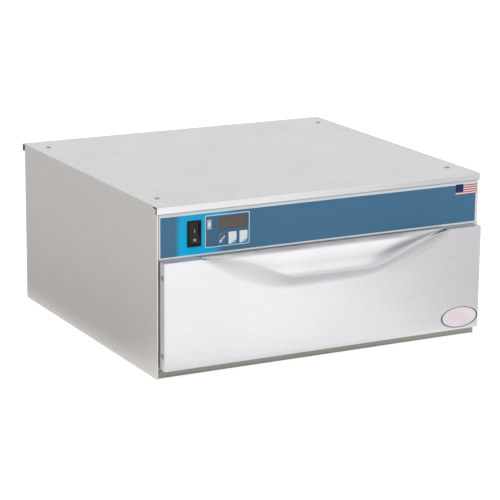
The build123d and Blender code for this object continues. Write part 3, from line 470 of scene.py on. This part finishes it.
def set_key_finish():
    """Blue key cap with a light stroke that ends in a bulb."""
    material, bench, shader, where = new_finish("set_key_face")
    line = stroke_mask(bench, where, set_key_low, set_key_high, 0.0008)
    bulb = stroke_mask(bench, where, set_key_low, set_key_bulb, 0.0017)
    mark = bench.calc("MAXIMUM", line, bulb)
    bench.feed(shader.inputs["Base Color"], bench.tint(mark, colour(64, 106, 140), film_white))
    add_wear(bench, shader, where, 0.02, 0.32)
    return material


def arrow_key_finish():
    """Pale key caps, each with a blue lower corner."""
    material, bench, shader, where = new_finish("arrow_key_face")
    shade = colour(236, 246, 250)
    for x in arrow_key_middles:
        inner, outer = ((x + aside, height) for aside, height in (key_corner_inner, key_corner_outer))
        corner = stroke_mask(bench, where, inner, outer, key_corner_half, edge=0.0012)
        shade = bench.tint(corner, shade, colour(70, 176, 206))
    bench.feed(shader.inputs["Base Color"], shade)
    add_wear(bench, shader, where, 0.02, 0.32)
    return material


def rocker_finish():
    """Black rocker with a white bar for on and a ring for off."""
    material, bench, shader, where = new_finish("rocker_black")
    at = bench.split(where)
    offset = bench.combine(bench.less(at["X"], off_ring[0]), 0.0, bench.less(at["Z"], off_ring[1]))
    from_ring = bench.calc("ABSOLUTE", bench.less(bench.vector("LENGTH", offset), off_ring_radius))
    bar = stroke_mask(bench, where, *on_bar, 0.0006)
    mark = bench.calc("MAXIMUM", bar, bench.fade(from_ring, 0.0007, 0.0003))
    bench.feed(shader.inputs["Base Color"], bench.tint(mark, colour(15, 15, 17), colour(200, 204, 206)))
    add_wear(bench, shader, where, 0.02, 0.3, swing=0.1)
    add_grain(bench, shader, where, (1800, 1800, 1800), 0.08)
    shader.inputs["Specular IOR Level"].default_value = 0.25
    return material


def lens_finish():
    """Clear moulded lens: bright in its middle with a painted glow, where the lamp sits, and deeper towards
    its ends.
    """
    material, bench, shader, where = new_finish("pilot_lens")
    low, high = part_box("indicator_lens")
    middle = ((low[0] + high[0]) / 2, (low[2] + high[2]) / 2)
    # Painted glow: the lens's middle is painted near white
    painted_glow = patch_mask(bench, where, middle, (0.0016, 0.0030), 0.001, edge=0.0018)
    smudge = add_wear(bench, shader, where, 0.006, 0.2)
    ends = bench.tint(smudge, colour(158, 186, 204), colour(176, 200, 214))
    bench.feed(shader.inputs["Base Color"], bench.tint(painted_glow, ends, colour(252, 254, 255)))
    shader.inputs["Coat Weight"].default_value = 0.4
    return material


def badge_finish():
    """Blank oval plate: pale ground with a dark rim line."""
    material, bench, shader, where = new_finish("oval_badge")
    offset = bench.vector("SUBTRACT", where, (badge_middle[0], 0, badge_middle[1]))
    share = bench.vector("MULTIPLY", offset, (1 / badge_half[0], 0, 1 / badge_half[1]))
    reach = bench.vector("LENGTH", share)
    rim = bench.times(bench.fade(reach, 0.885, 0.915), bench.fade(reach, 0.99, 0.965))
    smudge = add_wear(bench, shader, where, 0.02, 0.3, swing=0.08)
    ground = bench.tint(smudge, colour(250, 238, 242), colour(254, 248, 250))
    bench.feed(shader.inputs["Base Color"], bench.tint(rim, ground, colour(86, 74, 84)))
    return material


def blanket_finish():
    """Yellow glass-fibre blanket: tangled fibres and a soft uneven surface."""
    material, bench, shader, where = new_finish("glass_fibre")
    feeds = {"Vector": where, "Scale": 420.0, "Detail": 8.0, "Roughness": 0.75, "Distortion": 1.5}
    fibre = bench.place("ShaderNodeTexNoise", feeds).outputs[0]
    lumps = bench.use(handling_marks, vector=where, patch_size=0.02)["Smudge"]
    shade = bench.tint(fibre, colour(206, 186, 120), colour(246, 236, 190))
    clouded = bench.tint(bench.times(lumps, 0.4), shade, colour(190, 168, 104))
    bench.feed(shader.inputs["Base Color"], clouded)
    bump = bench.place("ShaderNodeBump", {"Strength": 0.8, "Distance": 0.002, "Height": fibre})
    bench.feed(shader.inputs["Normal"], bump.outputs[0])
    shader.inputs["Roughness"].default_value = 0.95
    return material


def board_finish():
    """Green lacquered circuit board with paler copper tracks."""
    material, bench, shader, where = new_finish("circuit_board")
    feeds = {"Vector": where, "Scale": 140.0, "Mortar Size": 0.03, "Color1": colour(16, 92, 48),
             "Color2": colour(12, 80, 42), "Mortar": colour(40, 128, 72)}
    bench.feed(shader.inputs["Base Color"], bench.place("ShaderNodeTexBrick", feeds).outputs[0])
    shader.inputs["Roughness"].default_value = 0.35
    return material


steel_tone = colour(209, 209, 210)
front_tone = colour(212, 212, 214)
lines_along_x = (14, 900, 900)
lines_along_y = (900, 14, 900)
front_lines = (10, 1100, 1100)
finishes = {
    "stainless_satin": steel_finish("satin_stainless", steel_tone, 0.34, lines_along_x),
    "stainless_front": steel_finish("satin_stainless_front", front_tone, 0.34, front_lines),
    "stainless_pan": steel_finish("pressed_stainless", colour(214, 214, 215), 0.26, (60, 60, 900),
                                  depth=0.02, patch=0.12),
    "stainless_fastener": steel_finish("screw_steel", colour(150, 150, 152), 0.3, (700, 700, 700),
                                       depth=0.05, patch=0.01),
    "bright_steel": steel_finish("turned_steel", colour(200, 200, 202), 0.2, (2500, 60, 60),
                                 depth=0.05, patch=0.02),
    "nylon_roller": moulded_finish("nylon_roller", colour(232, 228, 214), 0.45),
    "overlay_film": overlay_finish(),
    "black_switch": moulded_finish("switch_black", colour(9, 9, 10), 0.42, variation=0.2, shine=0.2),
    "black_rocker": rocker_finish(),
    "controller_plastic": controller_finish(),
    "smoked_window": window_finish(),
    "pilot_lens": lens_finish(),
    "key_blue": set_key_finish(),
    "key_pale": arrow_key_finish(),
    "circuit_board": board_finish(),
    "terminal_plastic": moulded_finish("terminal_block", colour(222, 218, 202), 0.5),
    "thermostat_body": moulded_finish("thermostat", colour(184, 180, 172), 0.45, grit=500.0),
    "black_bushing": moulded_finish("bushing_nylon", colour(22, 22, 22), 0.5, variation=0.2),
    "cable_jacket": moulded_finish("cable_jacket", colour(170, 62, 44), 0.55, variation=0.12),
    "glass_fibre": blanket_finish(),
    "silicone_gasket": moulded_finish("silicone_gasket", colour(58, 58, 58), 0.7, grit=600.0),
    "badge_plate": badge_finish(),
}

# A CAD piece takes the finish of its slot, but the side sheets are brushed from front to rear and the bottom
# rail is darker, as painted shade close to the floor.
side_steel = steel_finish("satin_stainless_side", colour(217, 214, 210), 0.36, lines_along_y)
rail_steel_painted_shade = steel_finish("satin_stainless_rail", colour(146, 144, 136), 0.42, lines_along_x)
# The pocket's lining carries painted shade near its top
pocket_steel_painted_shade = steel_finish("satin_stainless_pocket", front_tone, 0.34, front_lines, shade=pocket_painted_shade)
slot_of = {row["node"]: row["material_slot"] for row in frame["record"]["subparts"]}
own_finish = {"bottom_front_rail": rail_steel_painted_shade}
for sheet in ("side_panel", "cabinet_channel", "slide_rail"):
    own_finish[sheet + "_left"] = own_finish[sheet + "_right"] = side_steel
for node_name, node_object in frame["nodes"].items():
    for material_slot in node_object.material_slots:
        material_slot.material = own_finish.get(node_name, finishes[slot_of[node_name]])


# ==== Making pieces

def show(mesh, name):
    """An object that shows a mesh."""
    piece = bpy.data.objects.new(name, mesh)
    bpy.context.collection.objects.link(piece)
    return piece


def settle(piece):
    """The plain mesh that an object's modifiers make; the object itself is removed."""
    settled = piece.evaluated_get(bpy.context.evaluated_depsgraph_get())
    mesh = bpy.data.meshes.new_from_object(settled)
    bpy.data.objects.remove(piece)
    return mesh


def run_tree(tree, name, guide=None, **settings):
    """Runs a geometry tree on a guide mesh with the given inputs and returns the result as a plain mesh."""
    piece = show(guide or bpy.data.meshes.new(name), name)
    modifier = piece.modifiers.new("build", "NODES")
    modifier.node_group = tree
    for item in tree.interface.items_tree:
        label = item.name.lower().replace(" ", "_")
        if item.in_out == "INPUT" and label in settings:
            modifier[item.identifier] = settings[label]
    return settle(piece)


def thicken(mesh, name, thickness, offset, edge):
    """Gives a sheet its thickness and rounds its rim, as a plain mesh."""
    piece = show(mesh, name)
    sheet = piece.modifiers.new("sheet", "SOLIDIFY")
    sheet.thickness = thickness
    sheet.offset = offset
    sheet.use_even_offset = True
    rim = piece.modifiers.new("rim", "BEVEL")
    rim.width = edge
    rim.segments = 2
    rim.limit_method = "ANGLE"
    rim.angle_limit = math.radians(60)
    return settle(piece)


def add_bar(bag, low, high, edge):
    """Adds a closed bar with eased edges to a bmesh."""
    made = bmesh.ops.create_cube(bag, size=1.0)
    size = [top - bottom for bottom, top in zip(low, high)]
    middle = [(top + bottom) / 2 for bottom, top in zip(low, high)]
    placing = Matrix.Translation(middle) @ Matrix.Diagonal((*size, 1.0))
    bmesh.ops.transform(bag, verts=made["verts"], matrix=placing)
    edges = list({joint for vertex in made["verts"] for joint in vertex.link_edges})
    bmesh.ops.bevel(bag, geom=edges, offset=edge, segments=2, affect="EDGES")


def finish_mesh(mesh, material):
    """Closes and turns the faces outwards, and gives the mesh its finish."""
    bag = bmesh.new()
    bag.from_mesh(mesh)
    bmesh.ops.remove_doubles(bag, verts=bag.verts, dist=1e-6)
    bmesh.ops.recalc_face_normals(bag, faces=bag.faces)
    for face in bag.faces:
        face.smooth = True
        face.material_index = 0
    bag.to_mesh(mesh)
    bag.free()
    mesh.materials.clear()
    mesh.materials.append(material)
    mesh.set_sharp_from_angle(angle=math.radians(35))
    return mesh


# ==== The drawn pull: one rule for the drawer's sheet and for the pocket behind it

def build_pull_rule():
    """Foot, bend corner and crest of the drawn sheet at one place across the drawer front."""
    bench, given, out = new_group(
        "GeometryNodeTree", "pull_rule",
        [("Across", "Float", 0.0), ("Flat Half", "Float", pull_flat), ("Wing Half", "Float", pull_wing),
         ("Reach", "Float", pull_reach), ("Foot Drop", "Float", pull_foot_drop),
         ("Crest Drop", "Float", pull_crest_drop), ("Top", "Float", drawer_top),
         ("Middle", "Float", skin_middle), ("Bend", "Float", pull_bend), ("Bend End", "Float", pull_bend_end)],
        [("Foot", "Vector"), ("Corner", "Vector"), ("Crest", "Vector")],
    )
    past_flat = bench.less(bench.calc("ABSOLUTE", given["Across"]), given["Flat Half"])
    wing = bench.less(given["Wing Half"], given["Flat Half"])
    share = bench.held(bench.calc("DIVIDE", past_flat, wing))

    def left(power):
        return bench.less(1.0, bench.calc("POWER", share, power))

    crest_fall = bench.times(given["Crest Drop"], bench.calc("POWER", left(crest_sweep), crest_peak))
    crest_z = bench.less(bench.less(given["Top"], drawer_sheet / 2), crest_fall)
    crest_y = bench.less(given["Middle"], bench.times(given["Reach"], left(reach_sweep)))
    foot_z = bench.less(given["Top"], bench.times(given["Foot Drop"], left(foot_sweep)))
    corner_z = bench.calc("MINIMUM", bench.plus(foot_z, given["Bend End"]),
                          bench.less(crest_z, given["Bend End"]))
    low_z = bench.less(corner_z, bench.plus(given["Bend"], given["Bend End"]))
    bench.feed(out["Foot"], bench.combine(0.0, given["Middle"], low_z))
    bench.feed(out["Corner"], bench.combine(0.0, given["Middle"], corner_z))
    bench.feed(out["Crest"], bench.combine(0.0, crest_y, crest_z))
    return bench.tree


def bezier(bench, share, start, control, end):
    """Point of a three-point curve, measured from its start."""
    rest = bench.less(1.0, share)
    first = bench.scaled(bench.vector("SUBTRACT", control, start), bench.times(share, rest, 2.0))
    last = bench.scaled(bench.vector("SUBTRACT", end, start), bench.times(share, share))
    return bench.joined(first, last)


def unit_grid(bench, columns, rows):
    """A grid for a rule to bend: its mesh, and how far a point lies across (-0.5 to 0.5) and up (0 to 1)."""
    feeds = {"Size X": 1.0, "Size Y": 1.0, "Vertices X": columns, "Vertices Y": rows}
    grid = bench.place("GeometryNodeMeshGrid", feeds)
    at = bench.split(bench.place("GeometryNodeInputPosition").outputs[0])
    return grid.outputs["Mesh"], at["X"], bench.plus(at["Y"], 0.5)


def put(bench, mesh, place):
    """The mesh with its points moved to their places."""
    return bench.place("GeometryNodeSetPosition", {"Geometry": mesh, "Position": place}).outputs[0]


def hand_out(bench, out, geometry, finish):
    """Gives the geometry its finish and makes it the tree's result."""
    coloured = bench.place("GeometryNodeSetMaterial", {"Geometry": geometry, "Material": finish})
    bench.feed(out["Geometry"], coloured.outputs[0])


def build_drawer_skin(rule):
    """The drawer front's sheet: flat below, drawn out into the pull above, with its ends folded back."""
    bench, given, out = new_group(
        "GeometryNodeTree", "drawer_skin",
        [("Half Width", "Float", 0.3), ("Corner Radius", "Float", 0.002), ("Return Depth", "Float", 0.016),
         ("Bottom", "Float", drawer_bottom), ("Middle", "Float", skin_middle), ("Columns", "Int", 300),
         ("Rows", "Int", 50), ("Finish", "Material", None)],
        [("Geometry", "Geometry")],
    )
    grid, aside, height = unit_grid(bench, given["Columns"], given["Rows"])
    flat = bench.less(given["Half Width"], given["Corner Radius"])
    quarter = bench.times(given["Corner Radius"], math.pi / 2)
    full = bench.plus(flat, quarter, given["Return Depth"])
    run = bench.times(aside, bench.times(full, 2.0))
    length = bench.calc("ABSOLUTE", run)
    beyond = bench.calc("MAXIMUM", bench.less(length, flat), 0.0)
    turn = bench.calc("MINIMUM", bench.calc("DIVIDE", beyond, given["Corner Radius"]), math.pi / 2)
    out_x = bench.plus(bench.calc("MINIMUM", length, flat),
                       bench.times(given["Corner Radius"], bench.calc("SINE", turn)))
    side_x = bench.times(bench.calc("SIGN", run), out_x)
    bend_back = bench.times(given["Corner Radius"], bench.less(1.0, bench.calc("COSINE", turn)))
    back_y = bench.plus(bend_back, bench.calc("MAXIMUM", bench.less(beyond, quarter), 0.0))
    pull = bench.use(rule, across=length, middle=given["Middle"])
    low = bench.combine(0.0, given["Middle"], given["Bottom"])
    foot_row = 0.25
    straight = bench.scaled(bench.vector("SUBTRACT", pull["Foot"], low), bench.stretch(height, 0.0, foot_row))
    curved = bezier(bench, bench.stretch(height, foot_row, 1.0), pull["Foot"], pull["Corner"], pull["Crest"])
    place = bench.joined(low, straight, curved, bench.combine(side_x, back_y, 0.0))
    hand_out(bench, out, put(bench, grid, place), given["Finish"])
    return bench.tree


def build_pocket_lining(rule):
    """The sheet behind the pull: a short shelf, a rounded corner, a wall and a trough that meets the pull."""
    bench, given, out = new_group(
        "GeometryNodeTree", "pocket_lining",
        [("Half Width", "Float", pocket_half), ("Wall", "Float", pocket_wall),
         ("Shelf Back", "Float", drawer_back), ("Top", "Float", drawer_top), ("Middle", "Float", skin_middle),
         ("Round", "Float", pocket_round), ("Standoff", "Float", 0.00105), ("Join", "Float", 0.6),
         ("Lean", "Float", 0.15), ("Columns", "Int", 200), ("Rows", "Int", 40), ("Finish", "Material", None)],
        [("Geometry", "Geometry")],
    )
    grid, aside, height = unit_grid(bench, given["Columns"], given["Rows"])
    across = bench.times(aside, bench.times(given["Half Width"], 2.0))
    pull = bench.use(rule, across=across, middle=given["Middle"])
    foot, bend, crest = pull["Foot"], pull["Corner"], pull["Crest"]

    # The lining meets the pull's sheet square to it, a short way off its middle
    on_pull = bench.joined(foot, bezier(bench, given["Join"], foot, bend, crest))
    slope = bench.joined(bench.vector("SUBTRACT", on_pull, bend), bench.vector("SUBTRACT", crest, bend))
    along = bench.split(bench.vector("NORMALIZE", slope))
    rearward = bench.combine(0.0, along["Z"], bench.times(along["Y"], -1.0))
    meet = bench.joined(on_pull, bench.scaled(rearward, given["Standoff"]))
    meet_z = bench.split(meet)["Z"]

    fall = bench.less(given["Top"], meet_z)
    depth = bench.calc("MINIMUM", given["Round"], bench.times(fall, 0.6))

    def leaned(drop):
        return bench.less(given["Wall"], bench.times(drop, given["Lean"]))

    shelf_back = bench.combine(0.0, given["Shelf Back"], given["Top"])
    shelf_front = bench.combine(0.0, bench.calc("MULTIPLY_ADD", depth, 0.2, given["Wall"]), given["Top"])
    edge = bench.combine(0.0, given["Wall"], given["Top"])
    below = bench.combine(0.0, leaned(depth), bench.less(given["Top"], depth))
    trough = bench.combine(0.0, leaned(fall), meet_z)

    shelf_row, corner_row = 0.08, 0.3
    shelf_run = bench.vector("SUBTRACT", shelf_front, shelf_back)
    shelf = bench.scaled(shelf_run, bench.stretch(height, 0.0, shelf_row))
    corner = bezier(bench, bench.stretch(height, shelf_row, corner_row), shelf_front, edge, below)
    wall = bezier(bench, bench.stretch(height, corner_row, 1.0), below, trough, meet)
    place = bench.joined(shelf_back, shelf, corner, wall, bench.combine(across, 0.0, 0.0))
    hand_out(bench, out, put(bench, grid, place), given["Finish"])
    return bench.tree


pull_rule = build_pull_rule()


def make_drawer_front():
    """The pressed sheet with its folded ends, and the return flanges under and over it."""
    front_steel = finishes["stainless_front"]
    flat_sheet = run_tree(build_drawer_skin(pull_rule), "drawer_skin",
                          half_width=drawer_half - drawer_sheet / 2,
                          corner_radius=drawer_bend - drawer_sheet / 2,
                          return_depth=drawer_back - drawer_face - drawer_bend, bottom=drawer_bottom,
                          middle=skin_middle, columns=320, rows=56, finish=front_steel)
    skin = thicken(flat_sheet, "drawer_skin", drawer_sheet, 0.0, sheet_edge)
    bag = bmesh.new()
    bag.from_mesh(skin)
    inside = drawer_half - drawer_sheet
    behind = drawer_face + drawer_sheet
    add_bar(bag, (-inside, behind, drawer_bottom),
            (inside, drawer_back, drawer_bottom + drawer_sheet), flange_edge)
    for side in (-1, 1):
        left, right = sorted((side * pocket_half, side * inside))
        add_bar(bag, (left, behind, drawer_top - drawer_sheet), (right, drawer_back, drawer_top), flange_edge)
    bag.to_mesh(skin)
    bag.free()
    piece = show(finish_mesh(skin, front_steel), "drawer_front_sheet")
    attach(piece, "drawer")
    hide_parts("drawer_front")


def make_pocket():
    """The sheet that lines the finger space behind the pull."""
    lining = run_tree(build_pocket_lining(pull_rule), "pull_pocket", half_width=pocket_half, wall=pocket_wall,
                      shelf_back=drawer_back, top=drawer_top, middle=skin_middle, round=pocket_round,
                      standoff=drawer_sheet / 2 + pocket_gap, columns=240, rows=44, finish=pocket_steel_painted_shade)
    thick = thicken(lining, "pull_pocket", pocket_sheet, -1.0, pocket_edge)
    piece = show(finish_mesh(thick, pocket_steel_painted_shade), "pull_pocket")
    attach(piece, "drawer")
    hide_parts("handle_pocket")


make_drawer_front()
make_pocket()


# ==== Screws

def build_screws():
    """Domed cross-recess screws on the vertices of a guide mesh, all turned one way."""
    bench, given, out = new_group(
        "GeometryNodeTree", "domed_screws",
        [("Guide", "Geometry", None), ("Head Radius", "Float", 0.0046), ("Head Height", "Float", 0.0016),
         ("Shank Radius", "Float", 0.0021), ("Shank Length", "Float", 0.009),
         ("Recess Reach", "Float", 0.0026), ("Recess Width", "Float", 0.0009), ("Turn", "Rotation", None),
         ("Finish", "Material", None)],
        [("Geometry", "Geometry")],
    )
    head, shank_radius = given["Head Radius"], given["Shank Radius"]

    # One screw is turned from a grid: round it one way, along its section the other
    steps_round, steps_along = 41, 19
    grid, aside, share = unit_grid(bench, steps_round, steps_along)
    angle = bench.times(bench.plus(aside, 0.5), 2 * math.pi)
    dome_end, under_end, shank_end = 0.55, 0.7, 0.85
    dome = bench.times(bench.stretch(share, 0.0, dome_end), math.pi / 2)
    under = bench.stretch(share, dome_end, under_end)
    shank = bench.stretch(share, under_end, shank_end)
    tip = bench.stretch(share, shank_end, 1.0)
    on_dome = bench.times(head, bench.calc("SINE", dome))
    on_shank = bench.less(on_dome, bench.times(under, bench.less(head, shank_radius)))
    radius = bench.less(on_shank, bench.times(tip, shank_radius))
    drop = bench.times(bench.less(1.0, bench.calc("COSINE", dome)), given["Head Height"])
    height = bench.less(bench.less(given["Head Height"], drop), bench.times(shank, given["Shank Length"]))
    place = bench.combine(bench.times(radius, bench.calc("COSINE", angle)),
                          bench.times(radius, bench.calc("SINE", angle)), height)
    turned = put(bench, grid, place)
    closed = bench.place("GeometryNodeMergeByDistance", {"Geometry": turned, "Distance": 1e-6})

    cutters = bench.place("GeometryNodeJoinGeometry")
    depth = bench.times(given["Head Height"], 1.1)
    reach, width = given["Recess Reach"], given["Recess Width"]
    for wide, deep in ((reach, width), (width, reach)):
        bar = bench.place("GeometryNodeMeshCube", {"Size": bench.combine(wide, deep, depth)})
        lift = bench.combine(0.0, 0.0, given["Head Height"])
        lifted = bench.place("GeometryNodeTransform", {"Geometry": bar.outputs["Mesh"], "Translation": lift})
        bench.tree.links.new(lifted.outputs[0], cutters.inputs[0])
    cut = bench.place("GeometryNodeMeshBoolean", {"Mesh 1": closed.outputs[0]}, operation="DIFFERENCE")
    bench.tree.links.new(cutters.outputs[0], cut.inputs["Mesh 2"])

    feeds = {"Points": given["Guide"], "Instance": cut.outputs["Mesh"], "Rotation": given["Turn"]}
    copies = bench.place("GeometryNodeInstanceOnPoints", feeds)
    plain = bench.place("GeometryNodeRealizeInstances", {"Geometry": copies.outputs[0]})
    hand_out(bench, out, plain.outputs[0], given["Finish"])
    return bench.tree


screw_tree = build_screws()


def make_screws(name, node, body, sets, shank=0.009):
    """One piece holding a body's screws: each set has the places of its heads and the way that they face."""
    screw_steel = finishes["stainless_fastener"]
    bag = bmesh.new()
    for places, turn in sets:
        guide = bpy.data.meshes.new(name)
        guide.from_pydata(places, [], [])
        bag.from_mesh(run_tree(screw_tree, name, guide, turn=turn, shank_length=shank, finish=screw_steel))
    joined = bpy.data.meshes.new(name)
    bag.to_mesh(joined)
    bag.free()
    made = show(finish_mesh(joined, screw_steel), name)
    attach(made, body)
    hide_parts(node)


cover_places = [(x, y, cabinet_top) for x in (-0.283, 0.283)
                for y in (cabinet_front + 0.059, cabinet_rear - 0.05)]
back_places = [(x, cabinet_rear, z) for x in (-0.3035, 0.3035) for z in (0.025, 0.1465, 0.262)]
left_places, right_places = ([(x, -0.278, z) for z in (0.0437, 0.1764)] for x in (-drawer_half, drawer_half))
make_screws("cover_screws", "top_cover_screws", "cabinet", [(cover_places, (0, 0, 0))])
make_screws("back_screws", "rear_panel_screws", "cabinet", [(back_places, (-math.pi / 2, 0, 0))])
make_screws("drawer_end_screws", "drawer_side_screws", "drawer",
            [(left_places, (0, -math.pi / 2, 0)), (right_places, (0, math.pi / 2, 0))], shank=0.005)


# ==== Studio

camera_place = (-1.751895, -3.314385, 1.081774)
camera_degrees = (-27.868, 14.298, 0.523)
camera_lens = 154.088
lamp_target = (0.0, -0.3, 0.2)
floor_reach = 14.0
floor_to_camera = 0.85
floor_to_steel = 0.86
sky_for_light = 0.55


def floor_painted_shade_and_light(bench, where):
    """Strength of the floor in the steel's reflections, with painted shade and painted light laid on it by
    place.
    """
    at = bench.split(where)

    # Painted shade: darker in front of the right end of the drawer, and beside the left side panel
    aside = bench.fade(bench.calc("MULTIPLY_ADD", at["Y"], 0.35, at["X"]), -0.11, 0.30)
    ahead = bench.fade(at["Y"], cabinet_front + 0.02, cabinet_front - 0.12)
    right = bench.less(1.0, bench.times(aside, ahead, 0.74))
    beside = bench.times(bench.fade(at["X"], -0.30, -0.36), bench.fade(at["Y"], -0.35, 0.0))
    left = bench.less(1.0, bench.times(beside, bench.fade(at["X"], -0.95, -0.40, 0.38, 0.75)))

    # Painted shadow a little darker close in front of the drawer, and painted light paler far in front, which
    # the cover's lip mirrors
    near_front = bench.times(bench.fade(at["Y"], cabinet_front - 0.22, cabinet_front - 0.03),
                             bench.fade(at["X"], 0.3, 0.0))
    close_painted_shadow = bench.fade(near_front, 0.0, 1.0, 1.0, 0.7)
    far_painted_light = bench.fade(at["Y"], -0.85, -1.15, 1.0, 1.35)
    return bench.times(right, left, close_painted_shadow, far_painted_light, floor_to_steel)


def make_floor():
    """Wide pale floor that looks white to the camera and keeps the object's shadow."""
    mesh = bpy.data.meshes.new("studio_floor")
    corners = [(x * floor_reach, y * floor_reach, 0) for x, y in ((-1, -1), (1, -1), (1, 1), (-1, 1))]
    mesh.from_pydata(corners, [], [(0, 1, 2, 3)])
    material, bench, shader, where = new_finish("pale_floor")
    shader.inputs["Base Color"].default_value = (0.55, 0.55, 0.55, 1.0)
    shader.inputs["Roughness"].default_value = 0.9
    shader.inputs["Specular IOR Level"].default_value = 0.0
    shader.inputs["Emission Color"].default_value = (1.0, 1.0, 1.0, 1.0)
    paths = bench.place("ShaderNodeLightPath").outputs
    plain = bench.calc("MAXIMUM", paths["Is Camera Ray"], paths["Is Transmission Ray"])
    # Reflections see the floor with its painted shade and painted light
    mirrored = bench.times(paths["Is Glossy Ray"], floor_painted_shade_and_light(bench, where))
    bench.feed(shader.inputs["Emission Strength"], bench.plus(bench.times(plain, floor_to_camera), mirrored))
    mesh.materials.append(material)
    show(mesh, "studio_floor")


def make_world():
    """White round the object for the camera, metal and glass, and plain soft light for everything else."""
    world = bpy.data.worlds.new("studio")
    bpy.context.scene.world = world
    world.use_nodes = True
    world.node_tree.nodes.clear()
    bench = Bench(world.node_tree)
    paths = bench.place("ShaderNodeLightPath").outputs
    mirrored = bench.calc("MAXIMUM", paths["Is Glossy Ray"], paths["Is Transmission Ray"])
    seen = bench.calc("MAXIMUM", paths["Is Camera Ray"], mirrored)
    strength = bench.fade(seen, 0.0, 1.0, sky_for_light, 1.0)
    sky = bench.place("ShaderNodeBackground", {"Color": (1.0, 1.0, 1.0, 1.0), "Strength": strength})
    bench.place("ShaderNodeOutputWorld", {"Surface": sky.outputs[0]})


def make_lamp(name, place, size, power, mirrored=True):
    """Soft box turned to the front of the cabinet; metal shows it where it is mirrored."""
    light = bpy.data.lights.new(name, "AREA")
    light.shape = "RECTANGLE"
    light.size, light.size_y = size
    light.energy = power
    lamp = bpy.data.objects.new(name, light)
    bpy.context.collection.objects.link(lamp)
    lamp.location = place
    lamp.rotation_euler = (Vector(lamp_target) - Vector(place)).to_track_quat("-Z", "Y").to_euler()
    lamp.visible_glossy = mirrored


def aim_camera():
    """The photograph's viewpoint, fitted to the object's straight edges."""
    azimuth, elevation, roll = (math.radians(value) for value in camera_degrees)
    outward = Vector((math.sin(azimuth), -math.cos(azimuth), 0.0))
    back = math.cos(elevation) * outward + Vector((0.0, 0.0, math.sin(elevation)))
    right = Vector((math.cos(azimuth), math.sin(azimuth), 0.0))
    up = back.cross(right)
    level = math.cos(roll) * right + math.sin(roll) * up
    upright = math.cos(roll) * up - math.sin(roll) * right
    data = bpy.data.cameras.new("photo_camera")
    data.sensor_width = 36.0
    data.lens = camera_lens
    data.clip_end = 100.0
    camera = bpy.data.objects.new("photo_camera", data)
    bpy.context.collection.objects.link(camera)
    turn = Matrix((level, upright, back)).transposed()
    camera.matrix_world = Matrix.Translation(camera_place) @ turn.to_4x4()
    bpy.context.scene.camera = camera


aim_camera()
make_world()
make_floor()
make_lamp("front_box", (1.35, -2.85, 0.85), (2.6, 1.2), 7.4)
make_lamp("overhead_box", (0.2, -0.9, 1.9), (2.4, 1.6), 24.0, mirrored=False)
bpy.context.scene.view_settings.view_transform = "Standard"
